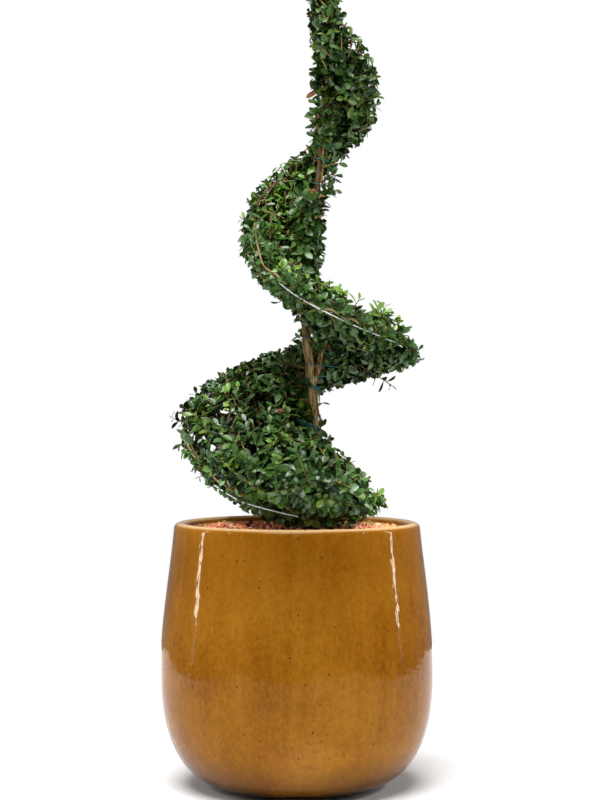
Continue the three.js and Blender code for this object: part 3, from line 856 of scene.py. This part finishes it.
def bark_looks(tree):
    """Tan flaking bark with dark upright cracks. Towards the leader it turns dark and reddish, partly
    younger bark and partly painted shade inside the foliage.
    """
    fibres = noise_node(tree, scale=420, detail=4, stretch=(1, 1, 0.12))
    patches = noise_node(tree, scale=95, detail=4, roughness=0.65, stretch=(1, 1, 0.30))
    tone = weighted_sum(tree, (fibres, 0.5), (patches, 0.5))
    stops = ((0.41, BARK_CRACK), (0.46, BARK_BROWN), (0.51, BARK_TAN), (0.58, BARK_FLAKE))
    leader_and_shade = map_node(tree, height_node(tree), *LEADER_SHADE_START, 0, LEADER_SHADE_SHARE)
    return {
        "Base Color": mix_node(tree, leader_and_shade, ramp_node(tree, tone, *stops), BARK_LEADER_AND_SHADE),
        "Roughness": map_node(tree, patches, *NOISE_RANGE, 0.68, 0.9),
        "Specular IOR Level": 0.2,
        "Normal": bump_node(tree, tone, strength=0.8, distance=0.002),
    }


def trunk_share(height):
    return (np.asarray(height, float) - TRUNK_FOOT) / (TRUNK_TOP - TRUNK_FOOT)


def trunk_at(height):
    """Place of the trunk's centre line across and in depth."""
    return catmull_rom(TRUNK_LINE, trunk_share(height), extend=False)


def trunk_point(height):
    height = np.asarray(height, float)
    return np.concatenate([trunk_at(height), height[..., None]], -1)


def root_flare(height):
    return np.exp((TRUNK_FOOT - height) / ROOT_FLARE_HEIGHT)


def trunk_radius_at(height):
    taper = lerp(TRUNK_FOOT_RADIUS, TRUNK_TIP_RADIUS, np.clip(trunk_share(height), 0, 1))
    return taper + ROOT_FLARE * root_flare(height)


def from_trunk(points):
    """How far points lie across and in depth from the trunk's centre line."""
    return points[..., :2] - trunk_at(points[..., 2])


def trunk_distance(points):
    return np.linalg.norm(from_trunk(points), axis=-1)


def trunk_shape():
    """Trunk with ridged bark, knots and a fluted root flare. Its rings crowd towards the foot."""
    along = np.linspace(0, 1, BARK_RINGS)[:, None]
    height = lerp(TRUNK_FOOT, TRUNK_TOP, along ** BARK_RING_CROWDING)
    angle = ring_angles(BARK_SIDES)
    around, along = np.broadcast_arrays(angle / FULL_TURN, along)
    ridges = 0
    for ridge_count, spacing, weight in BARK_LAYERS:
        ridges = ridges + weight * value_noise((ridge_count, BARK_RINGS // spacing), around, along)
    girth = trunk_radius_at(height) * (1 + BARK_RIDGE * ridges)
    for _ in range(KNOTS):
        knot_height = between((KNOT_LOWEST, KNOT_HIGHEST))
        knot_angle = between((0, FULL_TURN))
        turn = (angle - knot_angle + math.pi) % FULL_TURN - math.pi
        apart = np.hypot((height - knot_height) / KNOT_SIZE, turn * girth / KNOT_SIZE)
        eye = KNOT_EYE_DEPTH * np.exp(-(KNOT_EYE_TIGHTNESS * apart) ** 2)
        girth = girth + KNOT_HEIGHT * (np.exp(-apart ** 2) - eye)
    flutes = ROOT_FLUTE_DEPTH * np.sin(ROOT_FLUTES * angle + ROOT_FLUTE_TURN)
    girth = girth + root_flare(height) * flutes
    points = trunk_point(height[:, 0])
    wall = (points[:, None] + turned(girth, angle, 0)).reshape(-1, 3)
    return np.vstack([wall, points[:1], points[-1:]]), capped_faces(BARK_RINGS, BARK_SIDES)[:, ::-1]


def bough_shape():
    """Bare bough that bends a little and swells to a collar at the trunk."""
    along = np.linspace(0, 1, BOUGH_RINGS)
    path = lerp(trunk_point(BOUGH_FOOT_Z), BOUGH_TIP, along[:, None])
    path[:, 0] += BOUGH_BEND[0] * np.sin(along * BOUGH_BEND[1])
    lumps = BOUGH_LUMP[0] * np.sin(along * BOUGH_LUMP[1])
    collar = BOUGH_COLLAR[0] * np.exp(-along * BOUGH_COLLAR[1])
    return tubes(path[None], lerp(*BOUGH_RADII, along) * (1 + lumps + collar), BOUGH_SIDES)


def make_trunk(bark):
    make_piece("trunk_bark", trunk_shape(), [bark], ["trunk"])
    make_piece("bough_bark", bough_shape(), [bark], ["bough_right"])


# Foliage band, by the same rule as the solids

def band_at(turn):
    """Reach, middle and half depth of the band at a turn, rounded at its tail and above the ground."""
    turn = np.asarray(turn, float)
    station = catmull_rom(STATIONS, turn / SPIRAL_END, extend=True)
    reach, height, half = np.moveaxis(station, -1, 0)
    tail = np.clip((turn - SPIRAL_START) / TAIL_TURNS, TAIL_BLUNTNESS, 1)
    rounding = np.sqrt(1 - (1 - tail) ** 2)
    low = np.maximum(height - half * rounding, BAND_FLOOR)
    high = height + half * rounding
    return reach * rounding, (low + high) / 2, (high - low) / 2


def point_at(turn, radius, height):
    """Point at a distance from the trunk's centre line, at a turn and a height."""
    point = turned(radius, -FULL_TURN * turn, height)
    point[..., :2] += trunk_at(height)
    return point


def band_point(turn, tilt, scale):
    """Point on the band's rounded section: tilt runs from below to above."""
    reach, middle, half = band_at(turn)
    return point_at(turn, reach * scale * np.cos(tilt), middle + half * scale * np.sin(tilt))


def fullness(points, near_turn):
    """Nought on the band's middle line, one on its surface, and the least half width of the band."""
    aside = from_trunk(points)
    turn = -np.arctan2(aside[..., 1], aside[..., 0]) / FULL_TURN
    turn = turn + np.round(near_turn - turn)
    reach, middle, half = band_at(turn)
    full = np.hypot(np.linalg.norm(aside, axis=-1) / reach, (points[..., 2] - middle) / half)
    return full, np.minimum(reach, half)


def outward(points, near_turn):
    """Direction in which the band's surface faces."""
    slopes = []
    for axis in np.eye(3):
        ahead, _ = fullness(points + SLOPE_STEP * axis, near_turn)
        behind, _ = fullness(points - SLOPE_STEP * axis, near_turn)
        slopes.append(ahead - behind)
    return unit(np.stack(slopes, -1))


def is_in_space(points, near_turn, margin):
    """True where points lie in the band, above the ground and clear of the trunk and the bough."""
    full, width = fullness(points, near_turn)
    inside = (full - 1) * width <= margin
    trunk_clear = trunk_distance(points) - trunk_radius_at(points[..., 2]) > LEAF_CLEARANCE
    bough_distance = segment_distance(points, trunk_point(BOUGH_FOOT_Z), BOUGH_TIP)
    bough_clear = bough_distance - BOUGH_RADII[0] > LEAF_CLEARANCE
    return inside & trunk_clear & bough_clear & (points[..., 2] > BAND_FLOOR)


# Gaps and clearings that stay open

gap_across = lerp(*SKY_GAP_X, (np.arange(SKY_GAPS) + rng.random(SKY_GAPS)) / SKY_GAPS)
gap_up = between(SKY_GAP_Z, SKY_GAPS)
gap_radius = between(SKY_GAP_RADIUS, SKY_GAPS)


def is_in_gap(points):
    """True for points near one of the straight gaps, which all open to the front."""
    crosses = np.zeros(points.shape[:-1], bool)
    for across, up, radius in zip(gap_across, gap_up, gap_radius):
        line = unit(np.array([across, 0, up]) - CAMERA_PLACE)
        crosses |= np.linalg.norm(np.cross(points - CAMERA_PLACE, line), axis=-1) < radius
    return crosses


def hides_clearing(points):
    """True for points that stand before one of the lines that stay in sight."""
    hides = np.zeros(points.shape[:-1], bool)
    for start, end, radius in CLEARINGS:
        depth = (start[1] - CAMERA_PLACE[1]) / (points[..., 1] - CAMERA_PLACE[1])
        seen = CAMERA_PLACE + (points - CAMERA_PLACE) * depth[..., None]
        hides |= (segment_distance(seen, start, end) < radius) & (depth > 1)
    return hides


def is_kept_open(points):
    """True for points that would close a gap or hide a clearing."""
    return is_in_gap(points) | hides_clearing(points)


# Limbs and shoots

def limb_paths():
    """One limb for each slice of the band, from the trunk or the bare bough to the band's middle."""
    turn = np.arange(SPIRAL_START, SPIRAL_END, SLICE_TURNS) + SLICE_TURNS / 2
    reach, middle, half = band_at(turn)
    foot = trunk_point(middle - half * LIMB_ROOT_DROP)
    foot[(turn > BOUGH_TURNS[0]) & (turn < BOUGH_TURNS[1])] = BOUGH_TIP
    end = point_at(turn, reach * LIMB_END_SCALE, middle)
    along = np.linspace(0, 1, LIMB_POINTS)[:, None]
    return turn, lerp(foot[:, None], end[:, None], along) - LIMB_SAG * UP * np.sin(along * math.pi)


def section_tilts(reach, half):
    """Tilts that are evenly spaced along the band's rounded section."""
    tilt = np.linspace(-math.pi / 2, math.pi / 2, SECTION_POINTS)
    step = np.hypot(np.diff(reach * np.cos(tilt)), np.diff(half * np.sin(tilt)))
    length = np.concatenate([[0], np.cumsum(step)])
    rows = max(SECTION_LEAST_ROWS, round(length[-1] / SHOOT_SPREAD))
    places = (np.arange(rows) + 0.5 + between(SHOOT_JITTER, rows)) / rows
    return np.interp(places * length[-1], length, tilt)


def shoot_places():
    """Turn and tilt of every shoot's end, spread evenly over the spiral slice by slice."""
    turns, tilts = [], []
    for start in np.arange(SPIRAL_START, SPIRAL_END - SLICE_TURNS / 2, SLICE_TURNS):
        reach, _, half = band_at(start + SLICE_TURNS / 2)
        for tilt in section_tilts(reach, half):
            ends = band_point(np.array([start, start + SLICE_TURNS]), tilt, 1)
            columns = np.linalg.norm(ends[1] - ends[0]) / SHOOT_SPREAD
            count = int(columns + rng.random())
            jitter = between(SHOOT_JITTER, count)
            turns.append(start + SLICE_TURNS * (np.arange(count) + 0.5 + jitter) / max(count, 1))
            tilts.append(np.full(count, tilt))
    return np.concatenate(turns), np.concatenate(tilts)


def curved(root, knee, end):
    """Paths of a shoot's number of points that bend from root to end past a knee."""
    t = np.linspace(0, 1, SHOOT_POINTS)[:, None]
    return (1 - t) ** 2 * root[:, None] + 2 * t * (1 - t) * knee[:, None] + t * t * end[:, None]


def shoot_paths(turn, tilt, limb_turn, limbs):
    """Curved shoots from their limb to the surface, leaning upwards. Some end inside and some stray out."""
    count = len(turn)
    scale = between(SHOOT_END_SCALE, count)
    stray = rng.random(count) < STRAY_SHARE
    scale[stray] = between(STRAY_SCALE, int(stray.sum()))
    inner = rng.random(count) < INNER_SHARE
    scale[inner] = between(INNER_SCALE, int(inner.sum()))
    end = band_point(turn, tilt, scale)
    way = unit(outward(end, turn) + SHOOT_LEAN * UP + SHOOT_STRAY * rng.normal(size=end.shape))
    knee = end - way * between(SHOOT_STRAIGHT, count, 1)
    limb = np.abs(limb_turn[None] - turn[:, None]).argmin(axis=1)
    place = rng.integers(LIMB_BARE_POINTS, LIMB_POINTS, count)
    return curved(limbs[limb, place], knee, end), inner


def runner_paths():
    """Long clipped shoots that lie along the surface, mostly down the climbing band."""
    turn, tilt = shoot_places()
    chosen = rng.choice(np.flatnonzero(np.abs(tilt) < RUNNER_TILT), RUNNERS, replace=False)
    turn, tilt = turn[chosen], tilt[chosen]
    reach, _, half = band_at(turn)
    heading = rng.normal(RUNNER_HEADING, RUNNER_HEADING_SPREAD, RUNNERS)
    length = between(RUNNER_LENGTH, RUNNERS) * np.clip(reach / RUNNER_FULL_REACH, RUNNER_SHORTEST, 1)
    radius = np.maximum(reach * np.cos(tilt), RUNNER_LEAST_RADIUS)
    speed = np.hypot(reach * np.sin(tilt), half * np.cos(tilt))
    t = np.linspace(0, 1, SHOOT_POINTS)
    turns = turn[:, None] + (length * np.cos(heading) / (FULL_TURN * radius))[:, None] * t
    tilts = tilt[:, None] + (length * np.sin(heading) / speed)[:, None] * t
    tilts = np.clip(tilts, -RUNNER_STEEPEST, RUNNER_STEEPEST)
    return turn, band_point(turns, tilts, lerp(*RUNNER_SCALE, t))


def sleeve_paths():
    """Short shoots that stand round the trunk and hide parts of it."""
    roots, ends = [], []
    for low, high, count, reach, first_side, last_side in SLEEVES:
        height = between((low, high), count)
        way = turned(1, np.radians(between((first_side, last_side), count)), 0)
        root = trunk_point(height) + way * trunk_radius_at(height)[:, None]
        rise = UP * between(SLEEVE_RISE, count, 1)
        roots.append(root)
        ends.append(root + way * reach * between(SLEEVE_LENGTH, count, 1) + rise)
    root, end = np.concatenate(roots), np.concatenate(ends)
    return curved(root, (root + end) / 2 - SLEEVE_SAG * UP, end)


def sprig_paths():
    """Paths of the sprigs, those in clumps too, and the tint of each."""
    roots, ends, tints = (list(column) for column in zip(*SPRIGS))
    for first, last, growth, count, clump_tints in CLUMPS:
        root = lerp(np.array(first), np.array(last), rng.random((count, 1)))
        stray = CLUMP_STRAY * np.linalg.norm(growth) * rng.normal(size=root.shape)
        roots.extend(root)
        ends.extend(root + np.array(growth) * between(CLUMP_LENGTH, count, 1) + stray)
        tints += [clump_tints[k % len(clump_tints)] for k in range(count)]
    root, end = np.array(roots), np.array(ends)
    return curved(root, (root + end) / 2 + SPRIG_ARCH * UP, end), tints


def along_paths(paths, back):
    """Points and directions on each path at distances back from its end, and the paths' lengths."""
    steps = paths.shape[1] - 1
    length = np.linalg.norm(np.diff(paths, axis=1), axis=-1).sum(axis=1)
    place = np.clip(1 - back / length[:, None], 0, 1) * steps
    step = np.minimum(place.astype(int), steps - 1)
    row = np.arange(len(paths))[:, None]
    low, high = paths[row, step], paths[row, step + 1]
    return lerp(low, high, (place - step)[..., None]), unit(high - low), length


# Leaves

def leaf_template():
    """Corners and triangles of one leaf, a unit long: broadest past its middle and folded at the rib."""
    rows = np.array(LEAF_ROWS)
    half = 0.5 * np.sin(math.pi * rows ** LEAF_BULGE) ** LEAF_FULLNESS
    left = np.stack([rows, half, LEAF_FOLD * half], -1)
    rib = np.stack([rows, 0 * rows, 0 * rows], -1)
    right = np.stack([rows, -half, LEAF_FOLD * half], -1)
    corners = np.vstack([[0, 0, 0], np.stack([left, rib, right], 1).reshape(-1, 3), [1, 0, 0]])
    faces = [[0, 2, 1], [0, 3, 2]]
    for row in range(len(rows) - 1):
        a = 1 + 3 * row
        for k in (a, a + 1):
            faces += [[k, k + 1, k + 4], [k, k + 4, k + 3]]
    tip = len(corners) - 1
    faces += [[tip - 3, tip - 2, tip], [tip - 2, tip - 1, tip]]
    return corners, np.array(faces)


def leaf_shapes(leaves):
    """Leaves as one mesh: each has a root, a direction, a facing, a length, a width and a curl."""
    corners, faces = leaf_template()
    x, y, z = corners.T
    root, direction, facing = (leaves[name][:, None] for name in ("root", "direction", "facing"))
    length, width, curl = (leaves[name][:, None] for name in ("length", "width", "curl"))
    side = np.cross(facing, direction)
    lift = z * width - curl * x ** 2
    local = direction * x[:, None] + side * (y * width)[..., None] + facing * lift[..., None]
    points = root + local * length[..., None]
    return points.reshape(-1, 3), repeated(faces, len(corners), len(points))


def grow_leaves(paths, step, per_shoot, facing_out):
    """Leaves set spirally back from the end of each path. They face out and up to the light."""
    shape = (len(paths), per_shoot)
    order = np.arange(per_shoot)
    back = (order + LEAF_FIRST_STEP) * step * between(LEAF_STEP_SPREAD, *shape)
    root, axis, length = along_paths(paths, back)
    share = np.clip(order / (per_shoot - 1) * LEAF_ANGLE_RATE, 0, 1)
    angle = lerp(LEAF_ANGLE_TIP, LEAF_ANGLE_BACK, share) + rng.normal(0, LEAF_ANGLE_SPREAD, shape)
    roll = between((0, FULL_TURN), len(paths), 1) + order * LEAF_TURN
    helper = np.where(np.abs(axis[..., 2:]) > STEEP_SHOOT, [1.0, 0, 0], UP)
    aside = unit(np.cross(axis, helper))
    over = np.cross(aside, axis)
    radial = aside * np.cos(roll)[..., None] + over * np.sin(roll)[..., None]
    direction = unit(axis * np.cos(angle)[..., None] + radial * np.sin(angle)[..., None])
    direction = unit(direction + LEAF_STRAY * rng.normal(size=direction.shape))
    light = axis + LEAF_OUTWARD * facing_out(root) + LEAF_LIGHT * UP
    light = light + LEAF_TWIST * rng.normal(size=light.shape)
    facing = unit(light - direction * (light * direction).sum(-1, keepdims=True))
    size = np.clip(rng.normal(1, LEAF_LENGTH_SPREAD, shape), *LEAF_LENGTH_LIMITS)
    leaves = {
        "root": root,
        "direction": direction,
        "facing": facing,
        "length": LEAF_LENGTH * size * np.where(order == 0, YOUNGEST_LEAF, 1),
        "width": between(LEAF_WIDTH, *shape),
        "curl": between(LEAF_CURL, *shape),
        "shoot": np.broadcast_to(np.arange(len(paths))[:, None], shape),
        "order": np.broadcast_to(order, shape),
    }
    return chosen_leaves(leaves, back < length[:, None])


def chosen_leaves(leaves, keep):
    return {name: values[keep] for name, values in leaves.items()}


def leaf_marks(leaves):
    """Root, middle and tip of each leaf."""
    tip = leaves["root"] + leaves["direction"] * leaves["length"][:, None]
    return leaves["root"], (leaves["root"] + tip) / 2, tip


def trimmed(leaves, turn):
    """Leaves that lie inside the clipped band and leave the gaps and clearings open."""
    near = turn[leaves["shoot"]]
    root, middle, tip = leaf_marks(leaves)
    keep = is_in_space(tip, near, LEAF_MARGIN) & is_in_space(middle, near, LEAF_MARGIN)
    keep &= is_in_space(root, near, 2 * LEAF_MARGIN)
    for share in LEAF_MARKS:
        keep &= ~is_kept_open(lerp(root, tip, share))
    return chosen_leaves(leaves, keep)


def clear_of_trunk(leaves):
    """Leaves that keep off the trunk and the ground, wherever the band is."""
    keep = np.ones(len(leaves["root"]), bool)
    for mark in leaf_marks(leaves)[1:]:
        keep &= trunk_distance(mark) - trunk_radius_at(mark[:, 2]) > LEAF_CLEARANCE / 2
        keep &= mark[:, 2] > BAND_FLOOR
    return chosen_leaves(leaves, keep)


def away_from_trunk(points):
    return unit(np.concatenate([from_trunk(points), 0 * points[..., 2:]], -1))


def band_leaves(turn, shoots, step):
    leaves = grow_leaves(shoots, step, LEAVES_PER_SHOOT, lambda root: outward(root, turn[:, None]))
    return trimmed(leaves, turn)


def trunk_leaves(shoots, per_shoot):
    return clear_of_trunk(grow_leaves(shoots, LEAF_STEP, per_shoot, away_from_trunk))


def deal_tints(turn, tilt):
    """Tint of each shoot, by its place on the spiral. Upper sides have more new growth."""
    # Weights by turn, which even out painted light and shade between the turns
    weights = TINT_WEIGHTS[np.digitize(turn, TINT_STARTS)]
    lit = np.clip(np.sin(tilt) + NEW_GROWTH_SHIFT, *NEW_GROWTH_LIMITS) ** 2
    for name in ("fresh", "new"):
        weights[:, TINTS.index(name)] *= lit
    total = np.cumsum(weights, axis=1)
    draw = rng.random(len(turn)) * total[:, -1]
    return (draw[:, None] > total).sum(axis=1)


def leaf_tints(leaves, tints):
    """Tint of each leaf: its shoot's. Older leaves of new growth are mid green, and the oldest are near
    black with painted shade.
    """
    tint = tints[leaves["shoot"]]
    is_older = (leaves["order"] >= NEW_LEAVES) & (tint == TINTS.index("new"))
    keeps_tint = np.isin(tint, [TINTS.index("inner"), TINTS.index("dead")])
    is_oldest = (leaves["order"] >= OUTER_LEAVES) & ~keeps_tint
    return np.where(is_oldest, TINTS.index("deep_shade"), np.where(is_older, TINTS.index("mid"), tint))


def make_foliage_piece(name, shape, material):
    make_piece(name, shape, [material], FOLIAGE_NODES)


def make_leaves(groups):
    """One piece for each tint. A group is some leaves and the tints of their shoots."""
    leaves = {name: np.concatenate([group[name] for group, _ in groups]) for name in groups[0][0]}
    tint = np.concatenate([leaf_tints(*group) for group in groups])
    leaves["length"][tint == TINTS.index("new")] *= NEW_LEAF_SIZE
    for index, (name, (colour, gloss, _)) in enumerate(LEAF_TINTS.items()):
        material = plain_material(f"leaf_{name}", colour, LEAF_ROUGHNESS, gloss)
        shape = leaf_shapes(chosen_leaves(leaves, tint == index))
        make_foliage_piece(f"leaves_{name}", shape, material)


# Twigs and berries

def make_twigs(paths, limbs, bark):
    """Twigs of two colours and the limbs that carry them."""
    radii = np.linspace(*SHOOT_RADII, SHOOT_POINTS)
    is_olive = rng.random(len(paths)) < OLIVE_TWIGS
    for name, chosen in (("olive", is_olive), ("brown", ~is_olive)):
        material = plain_material(f"twig_{name}", TWIG_COLOURS[name], TWIG_ROUGHNESS)
        make_foliage_piece(f"twigs_{name}", tubes(paths[chosen], radii, SHOOT_SIDES), material)
    limb_radii = np.linspace(*LIMB_RADII, LIMB_POINTS)
    make_foliage_piece("limbs", tubes(limbs, limb_radii, LIMB_SIDES), bark)


def berry_template():
    """Corners and triangles of a small round berry of radius one."""
    tilt = np.linspace(-math.pi / 2, math.pi / 2, BERRY_RINGS + 2)[1:-1, None]
    angle = ring_angles(BERRY_SIDES)
    wall = turned(np.cos(tilt), angle, np.sin(tilt)).reshape(-1, 3)
    return np.vstack([wall, -UP, UP]), capped_faces(BERRY_RINGS, BERRY_SIDES)[:, ::-1]


def make_berries(turn, tilt, paths):
    """Black berries on short stalks that stand out from the shoots' ends, mostly on the undersides."""
    chosen = rng.permutation(np.flatnonzero(tilt < BERRY_HIGHEST_TILT))[:BERRIES]
    root, near = paths[chosen, -1], turn[chosen]
    away = unit(outward(root, near) - BERRY_DROOP * UP + BERRY_STRAY * rng.normal(size=root.shape))
    centre = root + away * (STALK_LENGTH + BERRY_RADIUS)
    keep = is_in_space(centre, near, 2 * LEAF_MARGIN)
    root, away, centre = root[keep], away[keep], centre[keep]
    corners, faces = berry_template()
    radius = BERRY_RADIUS * between(BERRY_SIZES, len(centre), 1, 1)
    balls = (centre[:, None] + corners * radius).reshape(-1, 3)
    berry = plain_material("black_berry", BERRY_COLOUR, roughness=0.28, gloss=0.35)
    make_foliage_piece("berries", (balls, repeated(faces, len(corners), len(centre))), berry)
    along = np.linspace(0, 1, STALK_POINTS)[:, None]
    stalks = lerp(root[:, None], (root + away * STALK_LENGTH)[:, None], along)
    stalk = plain_material("berry_stalk", STALK_COLOUR, TWIG_ROUGHNESS)
    make_foliage_piece("berry_stalks", tubes(stalks, STALK_RADIUS, SHOOT_SIDES), stalk)


def make_foliage(bark):
    """Shoots that leave the gaps and clearings open, with their leaves, twigs and berries."""
    turn, tilt = shoot_places()
    limb_turn, limbs = limb_paths()
    paths, inner = shoot_paths(turn, tilt, limb_turn, limbs)
    halfway = (paths[:, 1:] + paths[:, :-1]) / 2
    is_clear = ~is_kept_open(np.concatenate([paths, halfway], axis=1)).any(axis=1)
    turn, tilt, paths, inner = turn[is_clear], tilt[is_clear], paths[is_clear], inner[is_clear]
    is_shaded = inner & (np.abs(tilt) < SHADED_TILT)
    runner_turn, runners = runner_paths()
    sleeves = sleeve_paths()
    sprigs, sprig_tints = sprig_paths()
    shoot_leaves = band_leaves(turn, paths, LEAF_STEP)
    # Shaded inner shoots take the near-black inner tint, a painted shade
    shoot_tints = np.where(is_shaded, TINTS.index("inner"), deal_tints(turn, tilt))
    # Runners get the tints of level shoots, and sleeves those of level shoots on the lowest turn
    sleeve_turn = np.zeros(len(sleeves))
    make_leaves([
        (shoot_leaves, shoot_tints),
        (band_leaves(runner_turn, runners, 2 * LEAF_STEP), deal_tints(runner_turn, 0 * runner_turn)),
        (trunk_leaves(sleeves, SLEEVE_LEAVES), deal_tints(sleeve_turn, sleeve_turn)),
        (trunk_leaves(sprigs, SPRIG_LEAVES), np.array([TINTS.index(tint) for tint in sprig_tints])),
    ])
    make_twigs(np.concatenate([paths, runners, sleeves, sprigs]), limbs, bark)
    make_berries(turn, tilt, paths)


# Training wire, trained branches and ties

def band_line(places):
    """Line along the band's surface through places as turn, tilt in degrees and share of its reach."""
    turn, tilt, scale = catmull_rom(places, np.linspace(0, 1, LINE_POINTS), extend=True).T
    return band_point(turn, np.radians(tilt), scale)


def stem_line(heights, degrees):
    """Line that winds a little as it climbs along one side of the trunk."""
    height = np.linspace(*heights, LINE_POINTS)
    angle = math.radians(degrees) + STEM_WIND * np.sin(np.linspace(0, STEM_WAVES, LINE_POINTS))
    return trunk_point(height) + turned(trunk_radius_at(height) + STEM_OFFSET, angle, 0)


def make_wire():
    """White coated wire that the two lower turns are trained along."""
    lines = np.stack([band_line(line) for line in WIRE_LINES])
    material = plain_material("white_wire", WIRE_COLOUR, roughness=0.35)
    make_piece("training_wire", tubes(lines, WIRE_RADIUS, LINE_SIDES), [material])


def make_trained_branches():
    """Long branches bent along the wire and thin stems along the trunk."""
    lines = np.stack([band_line(line) for line in BRANCH_LINES] + [stem_line(*stem) for stem in STEMS])
    wiggle = np.sin(np.linspace(0, BRANCH_WAVES, LINE_POINTS))[:, None] * BRANCH_WIGGLE
    shape = tubes(lines + wiggle, np.linspace(*BRANCH_RADII, LINE_POINTS), LINE_SIDES)
    material = plain_material("trained_branch", BRANCH_COLOUR, TWIG_ROUGHNESS)
    make_piece("trained_branches", shape, [material])


def tie_path(left, right, depth):
    """Flat loop of twine from a left to a right end, before and behind the trunk."""
    angle = np.linspace(0, FULL_TURN, TIE_POINTS)
    share = (1 + np.cos(angle)) / 2
    across, height = lerp(np.array(left), np.array(right), share[:, None]).T
    bow = np.sign(np.sin(angle)) * np.sqrt(np.abs(np.sin(angle)))
    return np.stack([across, trunk_at(height)[:, 1] + depth * bow, height], -1)


def make_ties():
    paths = np.stack([tie_path(*tie) for tie in TIES])
    material = plain_material("teal_twine", TIE_COLOUR, roughness=0.5)
    make_piece("ties", tubes(paths, TIE_RADIUS, TIE_SIDES), [material])


# Stage

def make_floor():
    corners = FLOOR_REACH * np.array([[-1, -1, 0], [1, -1, 0], [1, 1, 0], [-1, 1, 0]])
    material = plain_material("pale_floor", FLOOR_COLOUR, roughness=0.8)
    floor = add_mesh("floor", (corners, np.array([[0, 1, 2, 3]])), [material], smooth=False)


def make_light(name, kind, place, target, power, **settings):
    light = bpy.data.lights.new(name, kind)
    light.energy = power
    for key, value in settings.items():
        setattr(light, key, value)
    lamp = add_object(name, light)
    lamp.location = place
    way = np.array(target) - np.array(place)
    lean = math.atan2(math.hypot(way[0], way[1]), -way[2])
    lamp.rotation_euler = (lean, 0, math.atan2(way[0], -way[1]) + math.pi)


def make_lights():
    """Soft light from above, upright strips that dim towards the floor, and spots."""
    make_light("overhead", "SUN", SUN_PLACE, SUN_TARGET, SUN_POWER, angle=SUN_SPREAD)
    for side in (-1, 1):
        for name, (low, high, power) in STRIPS.items():
            height = (low + high) / 2
            strip = {"shape": "RECTANGLE", "size": STRIP_WIDTH, "size_y": high - low}
            place = (side * STRIP_ASIDE, STRIP_BEHIND, height)
            make_light(f"strip_{name}_{side}", "AREA", place, (0, 0, height), power, **strip)
    for name, (place, target, power, degrees, softness) in SPOTS.items():
        spot = {"spot_size": math.radians(degrees), "spot_blend": 1.0, "shadow_soft_size": softness}
        make_light(name, "SPOT", place, target, power, **spot)


def make_world():
    """White backdrop for the camera. The room's own light is dim, most of all in front."""
    world = bpy.data.worlds.new("studio")
    bpy.context.scene.world = world
    world.use_nodes = True
    tree = world.node_tree
    way = tree.nodes.new("ShaderNodeTexCoord").outputs["Generated"]
    depth = add_node(tree, "ShaderNodeSeparateXYZ", {0: way}).outputs["Y"]
    room = tree.nodes["Background"]
    room.inputs["Color"].default_value = (1, 1, 1, 1)
    tree.links.new(map_node(tree, depth, *ROOM_DEPTH, *ROOM_STRENGTH), room.inputs["Strength"])
    backdrop = add_node(tree, "ShaderNodeBackground", {"Color": (1, 1, 1, 1), "Strength": 1.0})
    seen = tree.nodes.new("ShaderNodeLightPath").outputs["Is Camera Ray"]
    inputs = {0: seen, 1: room.outputs[0], 2: backdrop.outputs[0]}
    mixed = add_node(tree, "ShaderNodeMixShader", inputs).outputs[0]
    tree.links.new(mixed, tree.nodes["World Output"].inputs["Surface"])


def make_camera():
    data = bpy.data.cameras.new("camera")
    data.lens = CAMERA_LENS
    camera = add_object("camera", data)
    camera.location = CAMERA_PLACE
    camera.rotation_euler = (math.pi / 2, 0, 0)
    bpy.context.scene.camera = camera
    bpy.context.scene.view_settings.view_transform = "Standard"


make_camera()
make_floor()
make_world()
make_lights()
make_pot()
make_filling()
bark_material = node_material("bark", bark_looks)
make_trunk(bark_material)
make_foliage(bark_material)
make_wire()
make_trained_branches()
make_ties()
